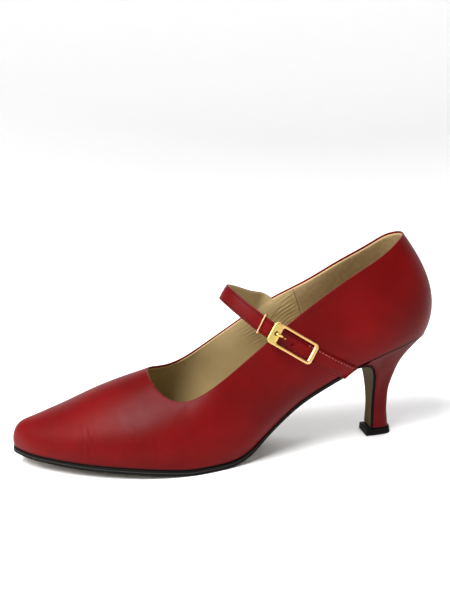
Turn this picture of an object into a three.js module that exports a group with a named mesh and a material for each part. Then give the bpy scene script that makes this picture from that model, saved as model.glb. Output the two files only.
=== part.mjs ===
// A left mary jane court shoe on a curved covered heel, in millimetres.
// Shoe frame while building: X from the back of the heel seat towards the toe, Y towards the outer
// (lateral) side, Z up from the floor. The finished group is centred on its own box at floor level.
import * as THREE from "three";
import { mergeVertices } from "three/addons/utils/BufferGeometryUtils.js";

// ---- driving dimensions -------------------------------------------------------------------------
const LENGTH = { heel: 8.2, toe: 252.6 }; // feather line, where upper meets sole
const GAP = 0.3; // clearance between neighbouring pieces
const WALL = 1.8; // upper: leather and lining together
const INSOLE = { thick: 2.2, inset: WALL + 0.45, lift: 0.15 };
const SOLE = { margin: 0.5, bevel: 0.6, flap: 1.1, flapGap: 0.45 };
const HEEL_TIP = { back: 28.8, front: 45.2, half: 7.0, height: 4.2, taper: 0.5, square: 3.2 };
const HEEL_FOOT = { back: 30.2, half: 6.5, square: 3.0 }; // heel block where it meets its tip
const COLUMNS = 46; // steps from heel to toe along each side
const OUTER_ROWS = 12;
const INNER_ROWS = 9;
const STRAP = { width: 9.2, instep: 1.9, buckled: 1.5, lean: 33, slant: 3.1 }; // slant: cut of the inner end
const BUCKLE = {
  length: 28, width: 12.4, bar: 1.5, plate: 5.6, corner: 2.2, thick: 1.5, lift: 0.5, barX: 81, plateX: 106,
};
const PRONG = { width: 1.7, thick: 0.9, onPlate: 3.0, reach: 2.6, drop: 1.2 };
const KEEPER = { bar: 1.0, band: 1.3, room: 0.45, reach: 6.2 };
const TAIL = { reach: 8.4, steps: 4 }; // free end of the buckled strap, lying on the instep strap

// Feather outline in plan, seen from above: outer side, inner side and sole thickness.
const OUTLINE = table("x outer inner sole", [
  [15, 15.8, -15.8, 2.0], [25, 21.2, -21.2, 2.0], [38, 24.0, -23.8, 2.0], [60, 23.0, -22.2, 2.1],
  [90, 21.2, -18.8, 2.0], [110, 25.0, -20.6, 2.0], [130, 32.0, -26.0, 3.1], [150, 37.0, -32.0, 3.3],
  [170, 37.6, -36.6, 3.3], [185, 35.4, -37.4, 3.3], [200, 30.8, -35.6, 3.2], [216, 24.2, -32.2, 3.1],
  [231, 15.8, -26.4, 3.0], [241.5, 8.6, -20.0, 3.0], [248.4, 1.8, -13.6, 3.0],
]);
// Where the outline closes: middle of the heel back and of the toe.
const ENDS = { heel: 0, toe: -6 };
// Height of the sole's walking face, with heel seat, arch and toe spring; nothing goes below 0.
const GROUND = table("x z", [
  [8.2, 60.3], [16, 59.9], [27, 57.3], [36, 54.7], [43, 52.2], [55, 47.4], [66, 41.7], [77, 35.5],
  [88, 28.9], [96, 23.2], [104, 17.0], [112, 10.6], [118, 5.7], [122, 3.2], [127, 1.2], [132, 0.3],
  [138, -0.2], [146, -0.35], [152, -0.1], [160, 0.6], [168, 1.5], [182, 2.9], [198, 3.8], [212, 4.6],
  [226, 5.4], [240, 6.2], [252.6, 7.2],
]);
// Topline, seen from above and from each side.
const TOPLINE = table("x outer inner zOuter zInner", [
  [27, 12.6, -12.6, 118.4, 118.6], [34, 16.2, -16.0, 113.6, 114.2], [54, 19.6, -19.4, 102.2, 103.4],
  [73, 21.6, -21.4, 91.0, 92.8], [95, 24.0, -23.4, 76.6, 82.2], [107, 25.4, -24.4, 68.0, 75.2],
  [123, 27.0, -25.8, 56.4, 65.0], [138, 28.0, -26.8, 46.2, 55.6], [149, 28.0, -26.2, 40.6, 49.6],
  [157, 26.8, -24.2, 39.2, 47.0], [165, 22.6, -18.8, 41.4, 47.2], [171, 14.4, -11.4, 46.6, 49.2],
]);
const COLLAR = { x: 21, z: 121.6 }; // middle of the topline at the back
const THROAT = { x: 173.6, z: 50.6 }; // middle of the topline over the vamp
// Which topline point each feather point climbs to.
const CLIMB = table("foot top", [
  [8.2, 21], [15, 25.4], [26, 33.4], [45, 50.5], [60, 65], [80, 84], [100, 102], [120, 119],
  [140, 134.2], [160, 147], [180, 157], [200, 164.4], [220, 169.2], [240, 172.6], [252.6, 173.6],
]);
// Ridge of the forepart: how far it stands over the feather line, and its line in plan.
const RIDGE = table("x high y", [
  [90, 86, -3], [120, 68, -3.6], [140, 58.5, -4], [160, 50, -4], [173, 44.4, -4], [183, 40.4, -4.2],
  [195, 35.9, -4.4], [207, 30.7, -4.8], [221, 24.0, -5.2], [231, 19.8, -5.6], [241, 15.9, -6],
  [248.4, 11.9, -6],
]);
// Forepart cross-section: roundness, and how far across the waist's topline lies (1 is the feather).
const DOME = { power: 2.2, waist: 0.93 };
// How far the wall swells out over the feather line.
const SWELL = table("x out", [
  [8.2, 5.2], [30, 5.2], [60, 5.6], [90, 6.6], [110, 5.8], [130, 3.8], [150, 2.4], [180, 1.7],
  [220, 1.4], [252.6, 1.8],
]);
const WALL_ARC = 60; // degrees of arc in the quarter's inward lean
// Feather x where the quarter's shape becomes the vamp's, and where the waist ends.
const BLEND = { quarter: 95, vamp: 168, waist: 115, forepart: 150 };
// Front face of the heel block, from the tip up and forward to the lip under the seat.
const BREAST = table("x z half", [
  [40.7, 4.8, 6.8], [40.4, 9, 6.4], [40.1, 14, 6.1], [39.9, 21, 6.4], [40.0, 29, 8.2],
  [40.3, 35, 10.4], [41.0, 40.2, 12.4], [42.7, 44.6, 14.6], [46.0, 47.9, 17.6], [50.2, 49.3, 20.4],
  [55, 49.6, 22.8],
]);
// How the heel block grows from its foot (0) to the seat (1): back and sides, by height.
const HEEL_GROWTH = table("high back side", [
  [0, 0, 0], [0.06, -0.015, 0.01], [0.17, -0.04, 0.04], [0.29, -0.03, 0.08], [0.43, 0.02, 0.12],
  [0.55, 0.14, 0.19], [0.67, 0.28, 0.3], [0.78, 0.46, 0.5], [0.9, 0.73, 0.78], [1, 1, 1],
]);
// Visible face of the straps from the inner side over the instep to the buckle.
const INSTEP_PATH = [
  [100.6, -23.4, 81.4], [108.2, -20.4, 84.4], [116.6, -15.0, 88.3], [123.4, -8.6, 91.8],
  [127.2, 0, 93.7], [125.2, 7.6, 92.0], [120.1, 14.8, 87.6], [114.2, 20.8, 82.8], [105.6, 26.4, 76.1],
];
// Straight run of the buckled strap over the outer quarter, from the sole edge to the topline.
const SIDE_RUN = { low: [63.2, 48.6], high: [96.2, 69.2], steps: 14, lap: 0.5 };
const FAR_OUT = 80; // y well outside the shoe

// ---- numbers and curves -------------------------------------------------------------------------

// Rows of numbers as objects with named columns.
function table(columns, rows) {
  const names = columns.split(" ");
  return rows.map((row) => Object.fromEntries(row.map((value, i) => [names[i], value])));
}

// Natural cubic spline through the points (x, y): a function of x.
function spline(points) {
  const n = points.length;
  const slope = new Float64Array(n);
  const bend = new Float64Array(n);
  const carry = new Float64Array(n);
  for (let i = 1; i < n - 1; i++) {
    const [x0, y0] = points[i - 1];
    const [x1, y1] = points[i];
    const [x2, y2] = points[i + 1];
    const share = (x1 - x0) / (x2 - x0);
    const pivot = share * slope[i - 1] + 2;
    slope[i] = (share - 1) / pivot;
    const kink = (y2 - y1) / (x2 - x1) - (y1 - y0) / (x1 - x0);
    carry[i] = ((6 * kink) / (x2 - x0) - share * carry[i - 1]) / pivot;
  }
  for (let i = n - 2; i >= 0; i--) bend[i] = slope[i] * bend[i + 1] + carry[i];
  return (x) => {
    let i = 0;
    while (i < n - 2 && x > points[i + 1][0]) i++;
    const [x0, y0] = points[i];
    const [x1, y1] = points[i + 1];
    const h = x1 - x0;
    const a = (x1 - x) / h;
    const b = (x - x0) / h;
    const curl = ((a ** 3 - a) * bend[i] + (b ** 3 - b) * bend[i + 1]) * h * h;
    return a * y0 + b * y1 + curl / 6;
  };
}

// A column of a table as a smooth function of another column.
const curve = (rows, from, to) => spline(rows.map((row) => [row[from], row[to]]));

// A half width that closes round at both ends: its square is the smooth curve.
function roundCurve(rows, column, start, end, middle = () => 0) {
  const squares = rows.map((row) => [row.x, (row[column] - middle(row.x)) ** 2]);
  const square = spline([[start, 0], ...squares, [end, 0]]);
  const side = Math.sign(rows[0][column]);
  return (x) => middle(x) + side * Math.sqrt(Math.max(0, square(x)));
}

const mix = (a, b, share) => a + (b - a) * share;
const smooth = (low, high, x) => THREE.MathUtils.smoothstep(x, low, high);
const radians = THREE.MathUtils.degToRad;

// ---- the last: shared curves --------------------------------------------------------------------

const lastMiddle = (x) => mix(ENDS.heel, ENDS.toe, smooth(170, LENGTH.toe, x));
const outerEdge = roundCurve(OUTLINE, "outer", LENGTH.heel, LENGTH.toe, lastMiddle);
const innerEdge = roundCurve(OUTLINE, "inner", LENGTH.heel, LENGTH.toe, lastMiddle);
const soleThick = curve(OUTLINE, "x", "sole");
const groundCurve = curve(GROUND, "x", "z");
const ground = (x) => Math.max(0, groundCurve(x));
const feather = (x) => ground(x) + soleThick(x) + GAP;
const topOuter = roundCurve(TOPLINE, "outer", COLLAR.x, THROAT.x);
const topInner = roundCurve(TOPLINE, "inner", COLLAR.x, THROAT.x);
const topEnds = (column) => [
  [COLLAR.x, COLLAR.z], ...TOPLINE.map((row) => [row.x, row[column]]), [THROAT.x, THROAT.z],
];
const topZOuter = spline(topEnds("zOuter"));
const topZInner = spline(topEnds("zInner"));
const climb = curve(CLIMB, "foot", "top");
const ridgeSquare = spline([...RIDGE.map((row) => [row.x, row.high ** 2]), [LENGTH.toe, 0]]);
const ridgeY = curve(RIDGE, "x", "y");
const swell = curve(SWELL, "x", "out");

// Feather x at step i of COLUMNS, close together where the outline is round.
const footX = (i) => mix(LENGTH.heel, LENGTH.toe, (1 - Math.cos((Math.PI * i) / COLUMNS)) / 2);

// Share of the way from the ridge line to the feather line at the same x.
function shareAcross(x, y) {
  const edge = Math.abs((y > ridgeY(x) ? outerEdge(x) : innerEdge(x)) - ridgeY(x));
  return Math.abs(y - ridgeY(x)) / Math.max(0.001, edge);
}

// Height of the forepart: the ridge's height times a superellipse of the share across.
function domeHeight(x, across) {
  const high = Math.sqrt(Math.max(0, ridgeSquare(x)));
  return high * Math.sqrt(Math.max(0, 1 - across ** DOME.power));
}

// One column of the upper's outer face: from the feather line to the topline.
function columnOf(x, side) {
  const edge = side > 0 ? outerEdge : innerEdge;
  const xTop = climb(x);
  const yTop = side > 0 ? topOuter(xTop) : topInner(xTop);
  const zTop = side > 0 ? topZOuter(xTop) : topZInner(xTop);
  const step = 0.4;
  const back = Math.max(LENGTH.heel, x - step);
  const front = Math.min(LENGTH.toe, x + step);
  const normal = new THREE.Vector2(edge(back) - edge(front), front - back).normalize();
  if (side < 0) normal.negate();
  if (x <= LENGTH.heel) normal.set(-1, 0);
  if (x >= LENGTH.toe) normal.set(1, 0);
  return { x, y: edge(x), z: feather(x), xTop, yTop, zTop, normal };
}

// Point of the outer face, at height share t of its column.
function outerPoint(column, t) {
  const { x, y, z, xTop, yTop, zTop, normal } = column;
  const arc = radians(WALL_ARC);
  const lean = (1 - Math.cos(t * arc)) / (1 - Math.cos(arc));
  const rise = Math.sin(t * arc) / Math.sin(arc);
  const quarter = [mix(x, xTop, lean), mix(y, yTop, lean), mix(z, zTop, rise)];
  const sweep = 1 - Math.cos((t * Math.PI) / 2);
  const [xv, yv] = [mix(x, xTop, sweep), mix(y, yTop, sweep)];
  const share = smooth(BLEND.quarter, BLEND.vamp, x);
  const waist = 1 - smooth(BLEND.waist, BLEND.forepart, x);
  const across = mix(shareAcross(xv, yv), mix(1, DOME.waist, sweep), waist);
  const topAcross = mix(shareAcross(xTop, yTop), DOME.waist, waist);
  const climbed = domeHeight(xv, across) / Math.max(0.001, domeHeight(xTop, topAcross));
  const vamp = [xv, yv, feather(xv) + climbed * (zTop - feather(xTop))];
  const out = swell(x) * 6.75 * t * (1 - t) ** 2;
  return new THREE.Vector3(
    mix(quarter[0], vamp[0], share) + normal.x * out,
    mix(quarter[1], vamp[1], share) + normal.y * out,
    mix(quarter[2], vamp[2], share),
  );
}

// Columns once round the shoe: outer side from heel to toe, then inner side back to the heel.
function columnsAround() {
  const outer = Array.from({ length: COLUMNS + 1 }, (_, i) => columnOf(footX(i), 1));
  const inner = Array.from({ length: COLUMNS - 1 }, (_, i) => columnOf(footX(COLUMNS - 1 - i), -1));
  return [...outer, ...inner];
}

// ---- meshes -------------------------------------------------------------------------------------

// A closed mesh from points and polygons: corners at one place are merged, empty triangles dropped.
function closedMesh(points, polygons) {
  const corners = [];
  for (const polygon of polygons) {
    for (let i = 1; i < polygon.length - 1; i++) {
      for (const k of [polygon[0], polygon[i], polygon[i + 1]]) corners.push(...points[k].toArray());
    }
  }
  const loose = new THREE.BufferGeometry();
  loose.setAttribute("position", new THREE.Float32BufferAttribute(corners, 3));
  const merged = mergeVertices(loose, 1e-3);
  const index = merged.index.array;
  const kept = [];
  for (let i = 0; i < index.length; i += 3) {
    const [a, b, c] = [index[i], index[i + 1], index[i + 2]];
    if (a !== b && b !== c && c !== a) kept.push(a, b, c);
  }
  merged.setIndex(kept);
  merged.computeVertexNormals();
  return merged;
}

// Stacked rings of equal length, joined row to row; the last ring joins the first when it is a tube.
function ringFaces(rings, size, closed) {
  const faces = [];
  const count = closed ? rings : rings - 1;
  for (let r = 0; r < count; r++) {
    const next = (r + 1) % rings;
    for (let k = 0; k < size; k++) {
      const m = (k + 1) % size;
      faces.push([r * size + k, r * size + m, next * size + m, next * size + k]);
    }
  }
  return faces;
}

// A bar of equal sections, closed by its first and last section.
function barOf(sections) {
  const size = sections[0].length;
  const last = (sections.length - 1) * size;
  const faces = ringFaces(sections.length, size, false);
  const first = Array.from({ length: size }, (_, k) => size - 1 - k);
  const end = Array.from({ length: size }, (_, k) => last + k);
  return closedMesh(sections.flat(), [...faces, first, end]);
}

function piece(name, geometry, color, roughness, metalness = 0) {
  const mesh = new THREE.Mesh(
    geometry,
    new THREE.MeshStandardMaterial({ color, roughness, metalness }),
  );
  mesh.name = name;
  return mesh;
}

// ---- upper --------------------------------------------------------------------------------------

// The hollow upper: outer face up, inner face down, one wall apart, open at topline and feather.
function upperGeometry() {
  const columns = columnsAround();
  const count = columns.length;
  const reach = 0.004;
  const at = (k, t) => outerPoint(columns[(k + count) % count], t);
  const inward = (k, t) => {
    const up = at(k, Math.min(1, t + reach)).sub(at(k, Math.max(0, t - reach)));
    const along = at(k + 1, t).sub(at(k - 1, t));
    const normal = along.cross(up);
    if (t < 0.02) normal.z = 0;
    return normal.normalize();
  };
  const ring = (t, depth) =>
    columns.map((_, k) => at(k, t).addScaledVector(inward(k, t), depth));
  const rings = [];
  for (let r = 0; r <= OUTER_ROWS; r++) rings.push(ring(r / OUTER_ROWS, 0));
  for (let r = INNER_ROWS; r >= 0; r--) rings.push(ring(r / INNER_ROWS, WALL));
  return closedMesh(rings.reverse().flat(), ringFaces(rings.length, count, true));
}

// ---- insole, outsole, heel ----------------------------------------------------------------------

// Insole and sock: a plate on the sole, just inside the upper's wall.
function insoleGeometry() {
  const rimPoint = (x, side, high) => {
    const { y, z, normal } = columnOf(x, side);
    const inset = INSOLE.inset;
    return new THREE.Vector3(x - normal.x * inset, y - normal.y * inset, z + high);
  };
  const section = (i) => {
    const x = footX(i);
    const low = INSOLE.lift;
    return [
      rimPoint(x, 1, low), rimPoint(x, 1, INSOLE.thick), rimPoint(x, -1, INSOLE.thick), rimPoint(x, -1, low),
    ];
  };
  return barOf(Array.from({ length: COLUMNS + 1 }, (_, i) => section(i)));
}

const breastX = spline(BREAST.map((row, i) => [i, row.x]));
const breastZ = spline(BREAST.map((row, i) => [i, row.z]));
const breastHalf = spline(BREAST.map((row, i) => [i, row.half]));
const BREAST_TOP = BREAST.length - 1;

// Unit vector out of the breast, away from the heel block.
function breastOut(u) {
  const step = 0.05;
  const dx = breastX(u + step) - breastX(u - step);
  const dz = breastZ(u + step) - breastZ(u - step);
  return new THREE.Vector3(dz, 0, -dx).normalize();
}

// Leather outsole: forepart and waist under the feather line, then a flap down the breast.
function outsoleGeometry() {
  const slopeStep = 0.5;
  const walking = (x) => {
    const slope = (feather(x + slopeStep) - feather(x - slopeStep)) / (2 * slopeStep);
    const down = new THREE.Vector3(slope, 0, -1).normalize();
    const top = new THREE.Vector3(x, 0, feather(x) - GAP);
    const bottom = top.clone().addScaledVector(down, soleThick(x));
    bottom.z = Math.max(0, bottom.z);
    return { top, bottom };
  };
  const section = (top, bottom, outer, inner) => {
    const bevel = Math.min(SOLE.bevel, (outer - inner) / 4);
    return [
      top.clone().setY(outer), bottom.clone().setY(outer - bevel),
      bottom.clone().setY(inner + bevel), top.clone().setY(inner),
    ];
  };
  const sections = [];
  for (let i = COLUMNS; footX(i) > 59; i--) {
    const x = footX(i);
    const margin = SOLE.margin * smooth(90, 130, x);
    const reach = i === COLUMNS ? margin : 0;
    const { top, bottom } = walking(x);
    const grow = i === COLUMNS ? 0 : margin;
    top.x += reach;
    bottom.x += reach;
    sections.push(section(top, bottom, outerEdge(x) + grow, innerEdge(x) - grow));
  }
  const steps = 2 * BREAST_TOP;
  for (let k = 0; k <= steps; k++) {
    const u = BREAST_TOP * (1 - k / steps);
    const face = new THREE.Vector3(breastX(u), 0, breastZ(u));
    const top = face.clone().addScaledVector(breastOut(u), SOLE.flapGap);
    const bottom = face.clone().addScaledVector(breastOut(u), SOLE.flapGap + SOLE.flap);
    sections.push(section(top, bottom, breastHalf(u), -breastHalf(u)));
  }
  return barOf(sections);
}

// A D-shaped outline, flat in front: q = 0 at the front corner, 1 at the middle of the back.
function dPoint(q, back, front, half, square) {
  const angle = (q * Math.PI) / 2;
  return new THREE.Vector2(
    front - (front - back) * Math.sin(angle) ** (2 / square),
    half * Math.max(0, Math.cos(angle)) ** (2 / square),
  );
}

// Rings of paired points, outer side front to back then inner side back to front, with flat ends.
function pairedSolid(rings, half) {
  const size = rings[0].length;
  const faces = ringFaces(rings.length, size, false);
  const cap = (base, flip) => {
    for (let k = 0; k < half; k++) {
      const quad = [base + k, base + k + 1, base + size - 2 - k, base + size - 1 - k];
      faces.push(flip ? quad.reverse() : quad);
    }
  };
  cap(0, true);
  cap((rings.length - 1) * size, false);
  return closedMesh(rings.flat(), faces);
}

// Both sides of a ring from its outer half; the inner half may have its own width.
const ringOf = (outerHalf, innerHalf) => [...outerHalf, ...innerHalf.reverse()];

// Covered heel: each column climbs from the small foot to the seat line.
function heelGeometry() {
  const steps = 14;
  const rows = 22;
  const backGrowth = curve(HEEL_GROWTH, "high", "back");
  const sideGrowth = curve(HEEL_GROWTH, "high", "side");
  const lip = BREAST[BREAST_TOP];
  const foot = BREAST[0];
  const seatX = (q) => mix(lip.x, LENGTH.heel, Math.sin((q * Math.PI) / 2));
  const columnPoint = (u, q, side) => {
    const base = dPoint(q, HEEL_FOOT.back, foot.x, HEEL_FOOT.half, HEEL_FOOT.square);
    const x = seatX(q);
    const edge = (side > 0 ? outerEdge(x) : innerEdge(x)) * side;
    const high = (breastZ(u) - foot.z) / (lip.z - foot.z);
    const frontShare = (breastX(u) - foot.x) / (lip.x - foot.x);
    const frontHalf = (breastHalf(u) - foot.half) / (lip.half - foot.half);
    const round = smooth(0, 0.7, q);
    const xShare = mix(frontShare, backGrowth(Math.min(1, high)), round);
    const yShare = mix(frontHalf, sideGrowth(Math.min(1, high)), round);
    const zTop = mix(lip.z, feather(x) - GAP, smooth(0, 0.12, q));
    return new THREE.Vector3(
      mix(base.x, x, xShare), side * mix(base.y, edge, yShare), mix(foot.z, zTop, Math.min(1, high)),
    );
  };
  const rings = [];
  for (let r = 0; r <= rows; r++) {
    const u = (BREAST_TOP * r) / rows;
    const halves = [1, -1].map((side) =>
      Array.from({ length: steps + 1 }, (_, k) => columnPoint(u, k / steps, side)),
    );
    rings.push(ringOf(halves[0], halves[1]));
  }
  return pairedSolid(rings, steps);
}

// Rubber top piece, a little wider at the floor.
function tipGeometry() {
  const steps = 12;
  const { back, front, half, height, taper, square } = HEEL_TIP;
  const ring = (z, inset) => {
    const side = (sign) =>
      Array.from({ length: steps + 1 }, (_, k) => {
        const p = dPoint(k / steps, back + inset, front - inset, half - inset, square);
        return new THREE.Vector3(p.x, sign * p.y, z);
      });
    return ringOf(side(1), side(-1));
  };
  return pairedSolid([ring(0, 0), ring(height, taper)], steps);
}

// ---- straps and buckle --------------------------------------------------------------------------

const vector = (p) => new THREE.Vector3(...p);
const leanAcross = new THREE.Vector3(-Math.sin(radians(STRAP.lean)), 0, Math.cos(radians(STRAP.lean)));

// A station of a strap: a point of its outer face, its way along, across and out.
function station(at, along, roughAcross) {
  const ahead = along.clone().normalize();
  const across = roughAcross.clone().addScaledVector(ahead, -roughAcross.dot(ahead)).normalize();
  return { at, along: ahead, across, out: ahead.clone().cross(across).negate().normalize() };
}

const raised = (stop, height) => ({ ...stop, at: stop.at.clone().addScaledVector(stop.out, height) });

// A flat strap under its stations' outer face.
function strapOf(stations, thick) {
  const half = STRAP.width / 2;
  const corner = ({ at, along, across, out, slant = 0 }, side, depth) =>
    at.clone().addScaledVector(across, side * half).addScaledVector(along, side * slant)
      .addScaledVector(out, -depth);
  const sections = stations.map((stop) => [
    corner(stop, 1, 0), corner(stop, -1, 0), corner(stop, -1, thick), corner(stop, 1, thick),
  ]);
  return barOf(sections.map((section) => section.reverse()));
}

const instepPath = new THREE.CatmullRomCurve3(INSTEP_PATH.map(vector), false, "centripetal");
// The strap rises from the inner side, so its path runs towards the outer side; out is up.
const instepStop = (u) => station(instepPath.getPointAt(u), instepPath.getTangentAt(u).negate(), leanAcross);

function instepStrapGeometry() {
  const steps = 36;
  const stops = Array.from({ length: steps + 1 }, (_, i) => instepStop(1 - i / steps));
  stops[steps].slant = STRAP.slant;
  return strapOf(stops, STRAP.instep);
}

// The outer quarter's surface beside a point seen from the side; under the feather line it goes
// straight down, so that the strap's foot laps the sole's edge.
function quarterPoint(upper, x, z) {
  const from = new THREE.Vector3(x, FAR_OUT, Math.max(z, feather(x) + SIDE_RUN.lap));
  const beside = new THREE.Raycaster(from, new THREE.Vector3(0, -1, 0));
  return beside.intersectObject(upper)[0].point.setZ(z);
}

// Stations of the buckled strap: flat on the quarter from the sole edge up, then over the instep strap.
function buckledStops(upper) {
  const [low, high] = [SIDE_RUN.low, SIDE_RUN.high];
  const run = new THREE.Vector2(high[0] - low[0], high[1] - low[1]).normalize();
  const half = STRAP.width / 2;
  const lift = GAP + STRAP.buckled;
  const side = Array.from({ length: SIDE_RUN.steps + 1 }, (_, i) => {
    const x = mix(low[0], high[0], i / SIDE_RUN.steps);
    const z = mix(low[1], high[1], i / SIDE_RUN.steps);
    const top = quarterPoint(upper, x - run.y * half, z + run.x * half);
    const bottom = quarterPoint(upper, x + run.y * half, z - run.x * half);
    const ahead = quarterPoint(upper, x + run.x, z + run.y).sub(quarterPoint(upper, x - run.x, z - run.y));
    return raised(station(quarterPoint(upper, x, z), ahead, top.sub(bottom)), lift);
  });
  const tail = Array.from({ length: TAIL.steps + 1 }, (_, i) => {
    const stop = instepStop(1 - (TAIL.reach * i) / TAIL.steps / instepPath.getLength());
    return raised(stop, lift);
  });
  return [...side, ...tail];
}

// A closed outline with round corners, about its own centre.
function roundedOutline(outline, length, width, radius) {
  const [x, y] = [length / 2, width / 2];
  outline.moveTo(-x + radius, -y);
  outline.lineTo(x - radius, -y).quadraticCurveTo(x, -y, x, -y + radius);
  outline.lineTo(x, y - radius).quadraticCurveTo(x, y, x - radius, y);
  outline.lineTo(-x + radius, y).quadraticCurveTo(-x, y, -x, y - radius);
  outline.lineTo(-x, -y + radius).quadraticCurveTo(-x, -y, -x + radius, -y);
  return outline;
}

// Places a mesh with its own x, y and z along three directions.
function placed(mesh, at, xAxis, zAxis) {
  const yAxis = zAxis.clone().cross(xAxis);
  mesh.quaternion.setFromRotationMatrix(new THREE.Matrix4().makeBasis(xAxis, yAxis, zAxis));
  mesh.position.copy(at);
  return mesh;
}

// Frame and plate in one: x along the strap with the plate at its upper end, z out of the shoe.
function buckleGeometry() {
  const { length, width, bar, plate, corner, thick } = BUCKLE;
  const shape = roundedOutline(new THREE.Shape(), length, width, corner);
  const [left, right, half] = [-length / 2 + bar, length / 2 - plate, width / 2 - bar];
  const hole = new THREE.Path();
  hole.moveTo(left, -half).lineTo(left, half).lineTo(right, half).lineTo(right, -half).lineTo(left, -half);
  shape.holes.push(hole);
  return new THREE.ExtrudeGeometry(shape, { depth: thick, bevelEnabled: false, curveSegments: 5 });
}

// Short hooked prong: over the plate, then down into the window towards the strap's hole.
function prongGeometry() {
  const { width, thick, onPlate, reach, drop } = PRONG;
  const edge = -GAP;
  const profile = new THREE.Shape();
  profile.moveTo(onPlate, GAP).lineTo(onPlate, GAP + thick).lineTo(edge, GAP + thick);
  profile.lineTo(-reach, -drop + thick / 2).lineTo(-reach, -drop).lineTo(edge - thick, -drop / 2);
  profile.lineTo(edge, GAP);
  const geometry = new THREE.ExtrudeGeometry(profile, { depth: width, bevelEnabled: false });
  return geometry.translate(0, 0, -width / 2).rotateX(Math.PI / 2);
}

// Thin loop round both straps: x across them, y out, z along.
function keeperGeometry() {
  const across = STRAP.width + 2 * KEEPER.room;
  const deep = STRAP.instep + GAP + STRAP.buckled + 2 * KEEPER.room;
  const shape = roundedOutline(new THREE.Shape(), across + 2 * KEEPER.bar, deep + 2 * KEEPER.bar, 1.2);
  shape.holes.push(roundedOutline(new THREE.Path(), across, deep, 0.3));
  const geometry = new THREE.ExtrudeGeometry(shape, {
    depth: KEEPER.band, bevelEnabled: false, curveSegments: 3,
  });
  return geometry.translate(0, 0, -KEEPER.band / 2);
}

// ---- assembly -----------------------------------------------------------------------------------

const RED = 0x8e1c22;
const GOLD = 0xd9b64f;

// The strap's station at a given X, between two of its stops.
function stationAt(stops, x) {
  const i = stops.findIndex(({ at }) => at.x > x);
  const [a, b] = [stops[i - 1], stops[i]];
  const share = (x - a.at.x) / (b.at.x - a.at.x);
  return { at: a.at.clone().lerp(b.at, share), across: a.across.clone().lerp(b.across, share) };
}

function buckleParts(stops) {
  const bar = stationAt(stops, BUCKLE.barX);
  const plate = stationAt(stops, BUCKLE.plateX);
  const along = plate.at.clone().sub(bar.at).normalize();
  const { out } = station(bar.at, along, bar.across.clone().add(plate.across));
  const middle = bar.at.clone().add(plate.at).multiplyScalar(0.5);
  const base = middle.addScaledVector(out, BUCKLE.lift);
  const edge = base.clone().addScaledVector(along, BUCKLE.length / 2 - BUCKLE.plate);
  const top = edge.addScaledVector(out, BUCKLE.thick);
  return [
    placed(piece("buckle_frame", buckleGeometry(), GOLD, 0.25, 1), base, along, out),
    placed(piece("buckle_prong", prongGeometry(), GOLD, 0.25, 1), top, along, out),
  ];
}

function keeperPart() {
  const { at, along, across, out } = instepStop(1 - KEEPER.reach / instepPath.getLength());
  const middle = (STRAP.buckled + GAP - STRAP.instep) / 2;
  const centre = at.clone().addScaledVector(out, middle);
  const loop = piece("keeper_loop", keeperGeometry(), GOLD, 0.25, 1);
  return placed(loop, centre, across, along);
}

function shoeGroup() {
  const upper = piece("upper", upperGeometry(), RED, 0.42);
  upper.updateMatrixWorld(true);
  const stops = buckledStops(upper);
  const shoe = new THREE.Group();
  shoe.add(
    upper,
    piece("insole", insoleGeometry(), 0xb9a57c, 0.75),
    piece("outsole", outsoleGeometry(), 0x6b5836, 0.6),
    piece("heel_block", heelGeometry(), RED, 0.42),
    piece("heel_tip", tipGeometry(), 0x16150f, 0.6),
    piece("instep_strap", instepStrapGeometry(), RED, 0.42),
    piece("buckle_strap", strapOf(stops, STRAP.buckled), RED, 0.42),
    ...buckleParts(stops),
    keeperPart(),
  );
  const middle = new THREE.Box3().setFromObject(shoe, true).getCenter(new THREE.Vector3());
  shoe.position.set(-middle.x, -middle.y, 0);
  return shoe;
}

export default shoeGroup();
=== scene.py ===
"""A left mary jane court shoe: leather upper, lining, sole, covered heel, straps and buckle.

Every shape is worked out in the shoe's own frame, in millimetres: X from the heel's back towards the
toe, Y towards the outer side, Z up from the floor. placed() turns it into the frame's metres.
"""
import math

import bmesh
import bpy
import numpy as np
from mathutils import Matrix, Quaternion, Vector
from mathutils.bvhtree import BVHTree


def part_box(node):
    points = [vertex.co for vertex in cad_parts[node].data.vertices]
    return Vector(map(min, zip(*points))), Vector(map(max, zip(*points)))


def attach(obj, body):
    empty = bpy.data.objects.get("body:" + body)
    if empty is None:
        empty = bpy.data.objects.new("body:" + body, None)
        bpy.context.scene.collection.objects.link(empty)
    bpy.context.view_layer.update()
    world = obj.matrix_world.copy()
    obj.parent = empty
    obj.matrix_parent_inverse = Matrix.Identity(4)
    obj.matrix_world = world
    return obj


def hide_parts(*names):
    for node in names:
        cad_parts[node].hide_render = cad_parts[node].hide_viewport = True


bl_info = {
    "name": "Mary jane shoe",
    "version": (1, 0, 0),
    "blender": (4, 5, 0),
    "location": "3D View > Sidebar > Shoe",
    "description": "Builds a leather mary jane shoe piece by piece round its packed frame",
    "category": "Add Mesh",
}

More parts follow.
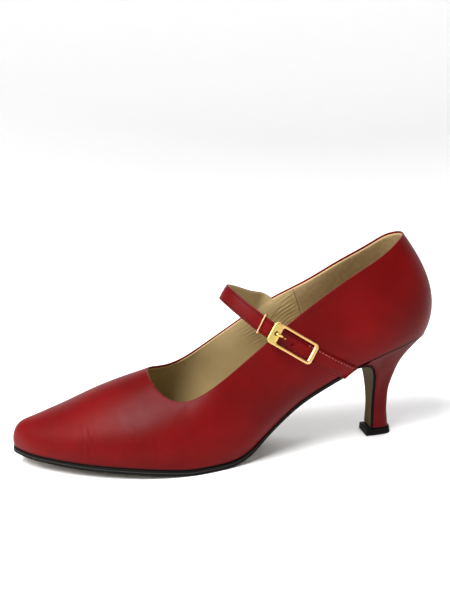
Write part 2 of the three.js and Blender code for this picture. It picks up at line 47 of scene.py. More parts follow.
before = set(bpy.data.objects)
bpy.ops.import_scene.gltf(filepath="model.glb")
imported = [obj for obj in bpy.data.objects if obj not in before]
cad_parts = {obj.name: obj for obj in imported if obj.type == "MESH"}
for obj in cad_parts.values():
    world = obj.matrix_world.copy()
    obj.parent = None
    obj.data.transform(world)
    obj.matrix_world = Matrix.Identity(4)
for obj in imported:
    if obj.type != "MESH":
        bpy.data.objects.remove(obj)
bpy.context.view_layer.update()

# ---- sizes in millimetres ----
HEEL_END, TOE_END = 8.2, 252.6  # ends of the feather line
GAP = 0.3
TINY = 0.001  # keeps a divisor off zero
WALL = 1.8
LEATHER = 1.1  # leather layer of the wall
BOND = 0.03  # between the leather layer and the lining
LINING_FACE = 1.5  # from the outer face in to the lining's face
LINING_CUT = 0.95  # the lining's cut edge under the topline
INSOLE_THICK = 2.2
SOLE_MARGIN = 0.5
SOLE_START = 60.5  # X where the sole turns down into the flap
HEEL_TIP = {"back": 28.8, "front": 45.2, "half": 7.0, "square": 3.2}
HEEL_FOOT = {"back": 30.2, "half": 6.5, "square": 3.0}
STRAP_WIDTH = 9.2
STRAP_SEAM = 3.25  # from the strap's middle
INSTEP_THICK = 1.9
BUCKLED_THICK = 1.5
STRAP_LEAN = math.radians(33)
BUCKLE = {
    "length": 28.6, "width": 12.8, "bar": 1.7, "end_bar": 2.5, "plate": 5.8,
    "corner": 2.6, "window_corner": 0.9, "thick": 1.5, "bow": 0.35, "shoulder": 2.2,
}
BUCKLE_AT = (81.0, 106.0)  # X of the strap under the frame's two ends
# The wire leans, its lower side nearer the frame; wide and deep are half its thickness.
KEEPER = {"reach": 6.2, "lean": 0.15, "room": 1.0, "corner": 1.2, "wide": 0.42, "deep": 0.4}
TAIL_AT = (0.6, 3.4, 6.2, 9.4)  # points of the buckled strap's tail along the instep strap
STITCH = {"pitch": 2.1, "radius": 0.17, "steps": 5, "sides": 8}


def columns(names, rows):
    """A short table: each named column as an array."""
    return dict(zip(names.split(), np.array(rows, float).T))


OUTLINE = columns("x outer inner sole", [
    (15, 15.8, -15.8, 2.0), (25, 21.2, -21.2, 2.0), (38, 24.0, -23.8, 2.0), (60, 23.0, -22.2, 2.1),
    (90, 21.2, -18.8, 2.0), (110, 25.0, -20.6, 2.0), (130, 32.0, -26.0, 3.1), (150, 37.0, -32.0, 3.3),
    (170, 37.6, -36.6, 3.3), (185, 35.4, -37.4, 3.3), (200, 30.8, -35.6, 3.2), (216, 24.2, -32.2, 3.1),
    (231, 15.8, -26.4, 3.0), (241.5, 8.6, -20.0, 3.0), (248.4, 1.8, -13.6, 3.0),
])
GROUND = columns("x z", [
    (8.2, 60.3), (16, 59.9), (27, 57.3), (36, 54.7), (43, 52.2), (55, 47.4), (66, 41.7), (77, 35.5),
    (88, 28.9), (96, 23.2), (104, 17.0), (112, 10.6), (118, 5.7), (122, 3.2), (127, 1.2), (132, 0.3),
    (138, -0.2), (146, -0.35), (152, -0.1), (160, 0.6), (168, 1.5), (182, 2.9), (198, 3.8), (212, 4.6),
    (226, 5.4), (240, 6.2), (252.6, 7.2),
])
TOPLINE = columns("x outer inner z_outer z_inner", [
    (27, 12.6, -12.6, 118.4, 118.6), (34, 16.2, -16.0, 113.6, 114.2), (54, 19.6, -19.4, 102.2, 103.4),
    (73, 21.6, -21.4, 91.0, 92.8), (95, 24.0, -23.4, 76.6, 82.2), (107, 25.4, -24.4, 68.0, 75.2),
    (123, 27.0, -25.8, 56.4, 65.0), (138, 28.0, -26.8, 46.2, 55.6), (149, 28.0, -26.2, 40.6, 49.6),
    (157, 26.8, -24.2, 39.2, 47.0), (165, 22.6, -18.8, 41.4, 47.2), (171, 14.4, -11.4, 46.6, 49.2),
])
COLLAR = (21.0, 121.6)  # X and Z of the topline's middle at the back
THROAT = (173.6, 50.6)  # the same over the vamp
CLIMB = columns("foot top", [
    (8.2, 21), (15, 25.4), (26, 33.4), (45, 50.5), (60, 65), (80, 84), (100, 102), (120, 119),
    (140, 134.2), (160, 147), (180, 157), (200, 164.4), (220, 169.2), (240, 172.6), (252.6, 173.6),
])
RIDGE = columns("x high y", [
    (90, 86, -3), (120, 68, -3.6), (140, 58.5, -4), (160, 50, -4), (173, 44.4, -4), (183, 40.4, -4.2),
    (195, 35.9, -4.4), (207, 30.7, -4.8), (221, 24.0, -5.2), (231, 19.8, -5.6), (241, 15.9, -6),
    (248.4, 11.9, -6),
])
DOME = {"power": 2.2, "waist": 0.93}  # forepart section: roundness, share across at the waist's topline
BLEND = {"quarter": 95, "vamp": 168, "waist": 115, "forepart": 150}  # X where each form ends or begins
SWELL = columns("x out", [
    (8.2, 5.2), (30, 5.2), (60, 5.6), (90, 6.6), (110, 5.8), (130, 3.8), (150, 2.4), (180, 1.7),
    (220, 1.4), (252.6, 1.8),
])
WALL_ARC = math.radians(60)
BREAST = columns("x z half", [
    (40.7, 4.8, 6.8), (40.4, 9, 6.4), (40.1, 14, 6.1), (39.9, 21, 6.4), (40.0, 29, 8.2),
    (40.3, 35, 10.4), (41.0, 40.2, 12.4), (42.7, 44.6, 14.6), (46.0, 47.9, 17.6), (50.2, 49.3, 20.4),
    (55, 49.6, 22.8),
])
HEEL_GROWTH = columns("high back side", [
    (0, 0, 0), (0.06, -0.015, 0.01), (0.17, -0.04, 0.04), (0.29, -0.03, 0.08), (0.43, 0.02, 0.12),
    (0.55, 0.14, 0.19), (0.67, 0.28, 0.3), (0.78, 0.46, 0.5), (0.9, 0.73, 0.78), (1, 1, 1),
])
INSTEP_PATH = np.array([
    (100.6, -23.4, 81.4), (108.2, -20.4, 84.4), (116.6, -15.0, 88.3), (123.4, -8.6, 91.8),
    (127.2, 0, 93.7), (125.2, 7.6, 92.0), (120.1, 14.8, 87.6), (114.2, 20.8, 82.8), (105.6, 26.4, 76.1),
])
SIDE_RUN = ((63.2, 48.6), (96.2, 69.2))  # X and Z of the strap's middle on the outer quarter


# ---- curves ----


def natural_spline(x, y):
    """Cubic pieces through the points, bending continuously and not at all at either end."""
    x, y = np.asarray(x, float), np.asarray(y, float)
    width, last = np.diff(x), len(x) - 1
    matrix, right = np.eye(last + 1), np.zeros(last + 1)
    i = np.arange(1, last)
    matrix[i, i - 1], matrix[i, i] = width[:-1], 2 * (width[:-1] + width[1:])
    matrix[i, i + 1] = width[1:]
    right[i] = 6 * np.diff(np.diff(y) / width)
    bend = np.linalg.solve(matrix, right)

    def at(q):
        q = np.asarray(q, float)
        k = np.clip(np.searchsorted(x, q, side="right") - 1, 0, last - 1)
        h = x[k + 1] - x[k]
        a, b = (x[k + 1] - q) / h, (q - x[k]) / h
        curl = (a**3 - a) * bend[k] + (b**3 - b) * bend[k + 1]
        return a * y[k] + b * y[k + 1] + curl * h * h / 6

    return at


def mix(a, b, share):
    return a + (b - a) * share


def smooth(low, high, x):
    """0 below low, 1 above high, smooth between."""
    t = np.clip((np.asarray(x, float) - low) / (high - low), 0, 1)
    return t * t * (3 - 2 * t)


def unit(v):
    return v / np.maximum(np.linalg.norm(v, axis=-1, keepdims=True), 1e-9)


def root(x):
    """Square root, 0 for anything under 0."""
    return np.sqrt(np.maximum(0, x))


def bell(x, width=1.0):
    """1 at zero, falling off smoothly on both sides over that width."""
    return np.exp(-((x / width) ** 2))


def full_turn(count):
    """Angles evenly once round, from 0."""
    return 2 * np.pi * np.arange(count) / count


def as_points(*values):
    """Coordinates of points, one array or number for each axis."""
    return np.stack(np.broadcast_arrays(*values), -1)


def line_at(where, arc, points):
    """Points of a line at those distances, given the distance of each of its own points."""
    return np.stack([np.interp(where, arc, values) for values in points.T], -1)


def round_curve(table, column, start, end, middle):
    """A half width that closes round at both ends: its square is the smooth curve."""
    squares = (table[column] - middle(table["x"])) ** 2
    square = natural_spline([start, *table["x"], end], [0, *squares, 0])
    side = np.sign(table[column][0])
    return lambda x: middle(x) + side * root(square(x))


def last_middle(x):
    return -6 * smooth(170, TOE_END, x)


outer_edge = round_curve(OUTLINE, "outer", HEEL_END, TOE_END, last_middle)
inner_edge = round_curve(OUTLINE, "inner", HEEL_END, TOE_END, last_middle)
sole_thick = natural_spline(OUTLINE["x"], OUTLINE["sole"])
ground_curve = natural_spline(GROUND["x"], GROUND["z"])
top_outer = round_curve(TOPLINE, "outer", COLLAR[0], THROAT[0], lambda x: 0 * x)
top_inner = round_curve(TOPLINE, "inner", COLLAR[0], THROAT[0], lambda x: 0 * x)
top_z = [
    natural_spline([COLLAR[0], *TOPLINE["x"], THROAT[0]], [COLLAR[1], *TOPLINE[name], THROAT[1]])
    for name in ("z_outer", "z_inner")
]
climb = natural_spline(CLIMB["foot"], CLIMB["top"])
ridge_square = natural_spline([*RIDGE["x"], TOE_END], [*RIDGE["high"] ** 2, 0])
ridge_y = natural_spline(RIDGE["x"], RIDGE["y"])
swell = natural_spline(SWELL["x"], SWELL["out"])


def sole_depth(x):
    return np.clip(sole_thick(x), 1.7, 3.3)


def feather(x):
    """Z of the feather line, where the upper meets the sole."""
    return np.maximum(0, ground_curve(x)) + sole_depth(x) + GAP


# ---- upper's surface ----


def share_across(x, y):
    """Share of the way from the ridge line to the feather line at the same X."""
    edge = np.abs(np.where(y > ridge_y(x), outer_edge(x), inner_edge(x)) - ridge_y(x))
    return np.abs(y - ridge_y(x)) / np.maximum(TINY, edge)


def dome(x, across):
    """Forepart height: the ridge's height times a superellipse of the share across."""
    return root(ridge_square(x)) * root(1 - across ** DOME["power"])


def rim(count, margin=0.0):
    """Feather line once round, outer side from heel to toe then back: x, y, side and plan normal."""
    turn = full_turn(count)
    x = mix(HEEL_END, TOE_END, (1 - np.cos(turn)) / 2)
    outer = turn <= np.pi
    y = np.where(outer, outer_edge(x), inner_edge(x))
    tangent = np.stack([np.roll(v, -1) - np.roll(v, 1) for v in (x, y)], -1)
    normal = unit(as_points(-tangent[:, 1], tangent[:, 0]))
    return x + normal[:, 0] * margin, y + normal[:, 1] * margin, outer, normal


def upper_surface(count, shares):
    """Outer face as rows of points: row r at height share t, from the feather line to the topline.

    The quarter climbs a quarter-ellipse arc leaning in, the vamp follows the dome, the two blend along
    the shoe, and the wall swells out over the feather line by t (1-t)^2, scaled to a peak of 1.
    """
    x, y, outer, normal = rim(count)
    t = np.asarray(shares, float)
    t = t[:, None] if t.ndim == 1 else t
    x_top = climb(x)
    y_top = np.where(outer, top_outer(x_top), top_inner(x_top))
    z_top = np.where(outer, top_z[0](x_top), top_z[1](x_top))
    lean = (1 - np.cos(t * WALL_ARC)) / (1 - math.cos(WALL_ARC))
    rise = np.sin(t * WALL_ARC) / math.sin(WALL_ARC)
    quarter = as_points(mix(x, x_top, lean), mix(y, y_top, lean), mix(feather(x), z_top, rise))
    sweep = 1 - np.cos(t * np.pi / 2)
    xv, yv = mix(x, x_top, sweep), mix(y, y_top, sweep)
    waist = 1 - smooth(BLEND["waist"], BLEND["forepart"], x)
    across = mix(share_across(xv, yv), mix(1, DOME["waist"], sweep), waist)
    across_top = mix(share_across(x_top, y_top), DOME["waist"], waist)
    climbed = dome(xv, across) / np.maximum(TINY, dome(x_top, across_top))
    vamp = as_points(xv, yv, feather(xv) + climbed * (z_top - feather(x_top)))
    points = mix(quarter, vamp, smooth(BLEND["quarter"], BLEND["vamp"], x)[None, :, None])
    points[..., :2] += normal * (swell(x) * 27 / 4 * t * (1 - t) ** 2)[..., None]
    return points


def outward(points):
    """Unit normals of a grid that runs up its rows and once round its columns."""
    up = np.gradient(points, axis=0)
    along = np.roll(points, -1, axis=1) - np.roll(points, 1, axis=1)
    normal = unit(np.cross(up, along))
    normal[0] = unit(normal[0] * [1, 1, 0])
    return normal


# Creases: line from one plan point to another (X, Z seen from the outer side), width and depth.
CREASES = columns("x0 z0 x1 z1 width depth", [
    (208.5, 27.0, 207.0, 12.5, 0.8, 0.30), (205.2, 26.0, 204.4, 14.0, 0.7, 0.22),
    (211.8, 21.0, 211.4, 11.5, 0.7, 0.15), (171.5, 24.0, 170.6, 9.5, 0.8, 0.20),
    (160.0, 25.0, 153.0, 12.0, 1.8, 0.14), (147.0, 28.0, 141.0, 15.0, 2.4, 0.12),
    (184.0, 30.0, 181.5, 18.0, 1.4, 0.12), (118.0, 34.0, 108.0, 27.0, 3.0, 0.14),
])


def crease_depth(x, z):
    """Sum of soft troughs with low ridges beside them, fading towards each line's two ends."""
    total = np.zeros_like(x)
    for x0, z0, x1, z1, width, depth in zip(*CREASES.values()):
        dx, dz = x1 - x0, z1 - z0
        length = math.hypot(dx, dz)
        share = ((x - x0) * dx + (z - z0) * dz) / length**2
        wander = 0.5 * np.sin(share * 7 + x0) * width
        off = (((x - x0) * dz - (z - z0) * dx) / length + wander) / width
        fade = smooth(-0.15, 0.25, share) * (1 - smooth(0.75, 1.15, share))
        total += depth * fade * (bell(off) - 0.45 * bell(np.abs(off) - 1.9))
    return total


# ---- meshes ----

_tip_low, _tip_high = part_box("heel_tip")
SHIFT = np.array([
    (_tip_low[0] + _tip_high[0]) * 500 - (HEEL_TIP["back"] + HEEL_TIP["front"]) / 2,
    (_tip_low[1] + _tip_high[1]) * 500,
    0.0,
])


def placed(points):
    """Millimetres in the shoe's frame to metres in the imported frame."""
    return (np.asarray(points, float).reshape(-1, 3) + SHIFT) / 1000


def grid_faces(rows, cols, close_rows=False, close_cols=False, first=0):
    """Quads of a grid of rows x cols points, joined round where a direction closes."""
    r = np.arange(rows if close_rows else rows - 1)[:, None]
    c = np.arange(cols if close_cols else cols - 1)[None, :]
    r1, c1 = (r + 1) % rows, (c + 1) % cols
    quads = np.stack([r * cols + c, r * cols + c1, r1 * cols + c1, r1 * cols + c], -1)
    return quads.reshape(-1, 4) + first


def object_from(name, parts, material, node=None, smooth_angle=None):
    """One mesh object from (points, quads, UV of each point in mm) and its CAD node."""
    firsts = np.cumsum([0] + [points.size // 3 for points, _, _ in parts])
    points = np.concatenate([placed(points) for points, _, _ in parts])
    quads = np.concatenate([quads + first for (_, quads, _), first in zip(parts, firsts)])
    uvs = np.concatenate([uv.reshape(-1, 2) for _, _, uv in parts])
    mesh = bpy.data.meshes.new(name)
    mesh.from_pydata(points.tolist(), [], quads.tolist())
    layer = mesh.uv_layers.new(name="UVMap")
    corner = np.empty(len(mesh.loops), dtype=np.int32)
    mesh.loops.foreach_get("vertex_index", corner)
    layer.data.foreach_set("uv", uvs[corner].astype(np.float32).ravel())
    mesh.polygons.foreach_set("use_smooth", np.ones(len(mesh.polygons), dtype=bool))
    mesh.validate()
    mesh.update()
    obj = bpy.data.objects.new(name, mesh)
    bpy.context.scene.collection.objects.link(obj)
    mesh.materials.append(material)
    tidy_mesh(obj, smooth_angle)
    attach(obj, "root")
    if node:
        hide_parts(node)


def tidy_mesh(obj, smooth_angle):
    """Merges doubled points, drops empty faces, turns faces outwards and marks sharp edges."""
    bm = bmesh.new()
    bm.from_mesh(obj.data)
    bmesh.ops.remove_doubles(bm, verts=bm.verts, dist=2e-6)
    bmesh.ops.dissolve_degenerate(bm, edges=bm.edges, dist=1e-7)
    bmesh.ops.recalc_face_normals(bm, faces=bm.faces)
    if bm.calc_volume(signed=True) < 0:
        bmesh.ops.reverse_faces(bm, faces=bm.faces)
    if smooth_angle is not None:
        limit = math.radians(smooth_angle)
        for edge in bm.edges:
            edge.smooth = len(edge.link_faces) != 2 or edge.calc_face_angle(0) < limit
    bm.to_mesh(obj.data)
    bm.free()


def tube(rings, uv=None, looped=False):
    """Rings of equal length joined to a closed bar, each end gathered to its middle, or to a loop."""
    uv = np.zeros(rings.shape[:2] + (2,)) if uv is None else uv

    def gathered(values):
        first, last = (np.broadcast_to(v.mean(axis=0), v.shape)[None] for v in (values[0], values[-1]))
        return np.concatenate([first, values, last])

    if not looped:
        rings, uv = gathered(rings), gathered(uv)
    return rings, grid_faces(*rings.shape[:2], close_rows=looped, close_cols=True), uv


# ---- upper, lining, sock ----

COLUMN_COUNT = 620
ROW_COUNT = {"leather": 100, "leather_back": 26, "lining": 104, "lining_back": 16, "rolled": 7, "cut": 4}


def arc_lengths(points):
    """Distance along a line of points, or along each column of a grid, from its first row."""
    steps = np.linalg.norm(np.diff(points, axis=0), axis=-1)
    return np.concatenate([np.zeros_like(steps[:1]), np.cumsum(steps, axis=0)])


def edge_uv(points):
    """UV in mm: U is the distance down from the topline, V the distance up from the feather line."""
    arc = arc_lengths(points)
    return as_points(arc[-1] - arc, arc)


def rolled_edge(top, up, out, thick, steps):
    """Half circle over the top edge, from the outer face round to the inner face."""
    angle = np.linspace(0, np.pi, steps + 2)[1:-1, None, None]
    return top + up * (thick / 2 * np.sin(angle)) - out * (thick / 2 * (1 - np.cos(angle)))


def wall_layer(rows, depth):
    """The upper's surface at those rows, moved inwards."""
    points = upper_surface(COLUMN_COUNT, rows)
    return points - outward(points) * depth


def upper_leather(material):
    """Leather layer: outer face with its creases, the rolled topline and the hidden inner face."""
    shares = np.linspace(0, 1, ROW_COUNT["leather"])
    points = upper_surface(COLUMN_COUNT, shares)
    normal, uv = outward(points), edge_uv(points)
    fade = (smooth(0, 0.1, shares) * (1 - smooth(0.9, 1, shares)))[:, None]
    outer_side = smooth(-2, 6, points[..., 1] - ridge_y(points[..., 0]))
    depth = crease_depth(points[..., 0], points[..., 2]) * fade * outer_side
    face = points - normal * depth[..., None]
    up = unit(points[-1] - points[-2])
    roll = rolled_edge(face[-1], up, normal[-1], LEATHER, ROW_COUNT["rolled"])
    inner = wall_layer(np.linspace(0, 1, ROW_COUNT["leather_back"]), LEATHER)
    rings = np.concatenate([face, roll, inner[::-1]])
    uvs = np.concatenate([uv, np.broadcast_to(uv[-1], roll.shape[:2] + (2,)), edge_uv(inner)[::-1]])
    object_from("upper_leather", [tube(rings, uvs, looped=True)], material, "upper")


LINING_SEAM = ((80.0, 82.0), (76.5, 71.0))  # X and Z of two points of the lining's upright seam


def seam_offset(x, z):
    """Distance of a point in front of the lining's upright seam, in mm, seen from the side."""
    (x0, z0), (x1, z1) = LINING_SEAM
    dx, dz = x1 - x0, z1 - z0
    return ((x - x0) * -dz + (z - z0) * dx) / math.hypot(dx, dz)


WRINKLE = {"pitch": 2.5, "inner": 0.34, "outer": 0.1, "seam_step": 0.28, "seam_groove": 0.2}


def lining_relief(points, uv):
    """Inward relief: soft wrinkles ahead of the seam on the inner side, and the seam's small step."""
    x, y, z = points[..., 0], points[..., 1], points[..., 2]
    ahead, down = seam_offset(x, z), uv[..., 0]
    region = smooth(0.5, 4, ahead) * (1 - smooth(27, 42, ahead))
    region = region * smooth(0.8, 2.5, down) * (1 - smooth(17, 26, down))
    wave = down - 0.12 * ahead + 0.7 * np.sin(ahead / 6.5 + 0.7) + 0.25 * np.sin(ahead / 2.1 + down / 4)
    strength = 0.7 + 0.3 * np.sin(ahead / 4.1 + down / 1.7)
    folds = (0.5 + 0.5 * np.sin(2 * np.pi * wave / WRINKLE["pitch"])) ** 2 * strength
    step, groove = smooth(-0.35, 0.0, -ahead), bell(ahead, 0.35)
    deep = np.where(y < 0, WRINKLE["inner"], WRINKLE["outer"])
    return deep * region * folds + WRINKLE["seam_step"] * step - WRINKLE["seam_groove"] * groove


def quarter_lining(material):
    """Lining layer, its cut top edge a little under the leather's rolled edge."""
    whole = arc_lengths(upper_surface(COLUMN_COUNT, np.linspace(0, 1, 12)))[-1]
    top_share = 1 - LINING_CUT / whole
    rows = np.linspace(0, 1, ROW_COUNT["lining"])[:, None] * top_share
    points = upper_surface(COLUMN_COUNT, rows)
    normal, uv = outward(points), edge_uv(points)
    relief = lining_relief(points, uv) * (1 - smooth(0.97, 1.0, rows / top_share))
    inner = points - normal * (LINING_FACE + relief[..., None])
    hidden_rows = np.linspace(0, 1, ROW_COUNT["lining_back"])[:, None] * top_share
    hidden = wall_layer(hidden_rows, LEATHER + BOND)
    up, thick = unit(points[-1] - points[-2]), LINING_FACE - LEATHER - BOND
    roll = rolled_edge(hidden[-1], up, normal[-1], thick, ROW_COUNT["cut"])
    rings = np.concatenate([hidden, roll, inner[::-1]])
    uvs = np.concatenate([edge_uv(hidden), np.broadcast_to(uv[-1], roll.shape[:2] + (2,)), uv[::-1]])
    object_from("quarter_lining", [tube(rings, uvs, looped=True)], material)


def plate_rims(x, inset):
    """Rim points of a plate inside the feather line, at stations x: outer and inner, moved inwards."""
    rx, ry, outer, normal = rim(4000)
    moved = as_points(rx, ry) - normal * inset
    rims = []
    for side in (outer, ~outer):
        order = np.argsort(rx[side])
        rims.append(line_at(x, rx[side][order], moved[side][order]))
    return rims


DISHES = columns("x spread deep", [(30, 20, 0.7), (150, 26, 0.5)])  # where heel and ball press the sock


def sock(material):
    """Sock on its insole: a plate between two rims, dished at the heel and the ball, edges rounded.

    Each ring runs over the top from the outer rim to the inner one, and back underneath.
    """
    stations = mix(HEEL_END, TOE_END, (1 - np.cos(np.linspace(0, np.pi, 260))) / 2)
    outer, inner = plate_rims(stations, WALL - 0.25)
    z = feather(stations)
    w = np.concatenate([np.linspace(0, 0.04, 5), np.linspace(0.06, 0.94, 34), np.linspace(0.96, 1, 5)])
    press = 0.5 + sum(deep * bell(stations - x, spread) for x, spread, deep in zip(*DISHES.values()))
    edge = 0.5 * (np.minimum(1, np.minimum(w, 1 - w) / 0.03) - 1)
    top = np.empty((len(stations), len(w), 3))
    top[..., :2] = outer[:, None] + (inner - outer)[:, None] * w[None, :, None]
    width = np.linalg.norm(outer - inner, axis=1)
    dish = 4 * w * (1 - w) * (press * smooth(0, 30, width))[:, None]
    top[..., 2] = (z + INSOLE_THICK)[:, None] - dish + edge
    under = top[:, ::-4].copy()
    under[..., 2] = (z + 0.2)[:, None]
    object_from("sock", [tube(np.concatenate([top, under], axis=1))], material, "insole")


# ---- sole and heel ----

breast_rows = np.arange(len(BREAST["x"]))
breast = {name: natural_spline(breast_rows, BREAST[name]) for name in BREAST}
BREAST_TOP = float(breast_rows[-1])
FLAP_GAP, FLAP_THICK = 0.45, 1.1
UNDER_U = 8.0  # U of the walking face, clear of the inked edge


def breast_out(u):
    """Unit vector out of the heel's front face: its slope in X and Z turned a quarter."""
    dx, dz = (breast[name](u + 0.05) - breast[name](u - 0.05) for name in ("x", "z"))
    return unit(as_points(dz, 0, -dx))


# Sole edge from its top corner to its walking face: distance in from the rim, share of thickness.
EDGE_PROFILE = columns("inset share", [
    (3.2, 1.0), (1.0, 1.0), (0.25, 1.0), (0.06, 0.97), (0.0, 0.9), (0.0, 0.72), (0.03, 0.64),
    (0.16, 0.6), (0.16, 0.55), (0.03, 0.51), (0.0, 0.43), (0.0, 0.26), (0.08, 0.14), (0.3, 0.04),
    (0.62, 0.0), (1.4, 0.0), (3.2, 0.0),
])


def outsole(material):
    """Sole: the edge profile runs along both rims and is joined across top and walking face.

    UV: U is the distance in from the rim, V the share of the thickness, with the flap's V under 0.
    """
    x = mix(HEEL_END, TOE_END, (1 - np.cos(np.linspace(np.pi, 0, 420))) / 2)
    x = x[x > SOLE_START]
    margin = SOLE_MARGIN * smooth(90, 130, x)
    rims = plate_rims(x, 0.0)
    normals = [unit(a - b) for a, b in zip(rims, plate_rims(x, 0.5))]
    slope = np.gradient(feather(x), x)
    down = unit(as_points(slope, 0, -1)) * sole_depth(x)[:, None]
    u = np.linspace(BREAST_TOP, 0, 130)
    out, half = breast_out(u), breast["half"](u)
    foot = as_points(breast["x"](u), 0, breast["z"](u)) + out * FLAP_GAP
    down = np.concatenate([down, out * FLAP_THICK])[:, None]
    tops, sides = [], []
    for side, rim_xy, normal in ((1, rims[0], normals[0]), (-1, rims[1], normals[1])):
        walk = np.column_stack([rim_xy + normal * margin[:, None], feather(x) - GAP])
        tops.append(np.concatenate([walk, foot + as_points(0, side * half, 0)]))
        sides.append(np.concatenate([np.column_stack([normal, 0 * x]), 0 * foot + [0.0, side, 0.0]]))
    width = np.linalg.norm(tops[0] - tops[1], axis=1)[:, None]
    inset = np.minimum(EDGE_PROFILE["inset"], width * 0.45)
    drop = (1 - EDGE_PROFILE["share"])[:, None]
    fall = down * drop
    edges = [top[:, None] - side[:, None] * inset[..., None] + fall for top, side in zip(tops, sides)]
    under = mix(edges[0][:, -1:], edges[1][:, -1:], np.linspace(0, 1, 14)[None, 1:-1, None])
    rings = np.concatenate([edges[0], under, edges[1][:, ::-1]], axis=1)
    rings[..., 2] = np.maximum(rings[..., 2], 0.0)
    flap = np.concatenate([np.zeros(len(x)), np.linspace(0, -1, len(u))])[:, None]
    uv_edge = as_points(inset, np.where(flap < 0, flap, EDGE_PROFILE["share"]))
    uv_under = as_points(UNDER_U, flap + np.zeros(under.shape[1]))
    uv = np.concatenate([uv_edge, uv_under, uv_edge[:, ::-1]], axis=1)
    object_from("outsole_leather", [tube(rings, uv)], material, "outsole", 50)


def d_outline(q, back, front, half, square):
    """D shape, flat in front: a superellipse quarter, q from 0 at the front corner to 1 at the back."""
    angle = q * np.pi / 2
    x = front - (front - back) * np.sin(angle) ** (2 / square)
    return x, half * np.maximum(0, np.cos(angle)) ** (2 / square)


def heel_cover(material):
    """Covered heel: each column climbs from the small foot to the feather line, back and sides apart."""
    q = np.linspace(0, 1, 70)[None, :]
    u = np.linspace(0, BREAST_TOP, 120)[:, None]
    foot, lip = ({name: BREAST[name][row] for name in BREAST} for row in (0, -1))
    front = {name: (breast[name](u) - foot[name]) / (lip[name] - foot[name]) for name in BREAST}
    high = np.minimum(1, front["z"])
    growth = {name: natural_spline(HEEL_GROWTH["high"], HEEL_GROWTH[name])(high) for name in HEEL_GROWTH}
    base_x, base_y = d_outline(q, HEEL_FOOT["back"], foot["x"], HEEL_FOOT["half"], HEEL_FOOT["square"])
    x = mix(lip["x"], HEEL_END, np.sin(q * np.pi / 2))
    round_share = smooth(0, 0.7, q)
    x_share = mix(front["x"], growth["back"], round_share)
    y_share = mix(front["half"], growth["side"], round_share)
    z = mix(foot["z"], mix(lip["z"], feather(x) - GAP, smooth(0, 0.12, q)), high)
    sides = []
    for side, edge in ((1, outer_edge), (-1, inner_edge)):
        y = side * mix(base_y, np.abs(edge(x)), y_share)
        sides.append(as_points(mix(base_x, x, x_share), y, z))
    rings = np.concatenate([sides[0], sides[1][:, ::-1]], axis=1)
    object_from("heel_cover", [tube(rings)], material, "heel_block", 50)


TIP_PROFILE = columns("z inset", [
    (0.0, 0.7), (0.0, 0.35), (0.08, 0.12), (0.3, 0.0), (1.0, 0.03), (2.4, 0.18), (3.5, 0.3), (3.9, 0.38),
    (4.1, 0.56), (4.2, 0.9), (4.2, 1.6),
])


def top_piece(material):
    """Rubber top piece: the D outline carried up a profile that flares towards the floor."""
    q, inset = np.linspace(0, 1, 60)[None, :], TIP_PROFILE["inset"][:, None]
    back, front, half = HEEL_TIP["back"] + inset, HEEL_TIP["front"] - inset, HEEL_TIP["half"] - inset
    x, y = d_outline(q, back, front, half, HEEL_TIP["square"])
    side = as_points(x, y, TIP_PROFILE["z"][:, None])
    rings = np.concatenate([side, side[:, ::-1] * [1, -1, 1]], axis=1)
    object_from("top_piece", [tube(rings)], material, "heel_tip", 50)


# ---- straps ----


def chord_spline(points, count):
    """Smooth line through the points by chord length, as evenly spaced points, and its length."""
    chord = arc_lengths(points)
    lines = [natural_spline(chord, points[:, k]) for k in range(3)]
    fine = np.linspace(0, chord[-1], 2000)
    arc = arc_lengths(np.stack([line(fine) for line in lines], -1))
    where = np.interp(np.linspace(0, arc[-1], count), arc, fine)
    return np.stack([line(where) for line in lines], -1), arc[-1]


STRAP_CROWN = 0.12
SEAM_DEPTH = 0.26  # and the groove's half width
FLARE_ABOVE = 0.05  # share of the flare on the strap's upper side
LEAN_ACROSS = np.array([-math.sin(STRAP_LEAN), 0, math.cos(STRAP_LEAN)])


def strap_frames(at, across=LEAN_ACROSS):
    """Unit vectors along, across and out of a strap whose middle line is at, facing outwards."""
    along = unit(np.gradient(at, axis=0))
    across = unit(across - along * np.sum(across * along, axis=1, keepdims=True))
    return along, across, -np.cross(along, across)


def strap_profile(width, thick, grooves):
    """Section of a folded strap: (across, height over its outer face), rounded edges, sunk seams."""
    radius = thick / 2
    edge = np.sin(np.linspace(-np.pi / 2, np.pi / 2, 56))
    across = np.sort(np.concatenate([edge * width / 2] + [g + np.linspace(-0.5, 0.5, 7) for g in grooves]))
    over = np.maximum(0, np.abs(across) - (width / 2 - radius))
    bow = root(radius**2 - over**2) - radius
    top = bow + STRAP_CROWN * (1 - (2 * across / width) ** 2)
    for groove in grooves:
        top -= SEAM_DEPTH * bell(across - groove, SEAM_DEPTH)
    return np.concatenate([as_points(across, top), as_points(across, -thick - bow)[::-4]])


class Quarter:
    """Outer face of the upper as a tree that sideways rays can be shot at."""

    def __init__(self):
        points = upper_surface(COLUMN_COUNT, np.linspace(0, 1, 60))
        quads = grid_faces(*points.shape[:2], close_cols=True)
        self.tree = BVHTree.FromPolygons(points.reshape(-1, 3).tolist(), quads.tolist())

    def beside(self, x, z, side):
        """Y of the outer (side 1) or inner (side -1) face beside each (x, z), or NaN past its edges."""
        found = np.full(np.shape(x), np.nan)
        for index in np.ndindex(found.shape):
            start, ray = Vector((x[index], side * 90, z[index])), Vector((0, -side, 0))
            hit = self.tree.ray_cast(start, ray)[0]
            if hit is not None and hit.y * side > 0:
                found[index] = hit.y
        return found


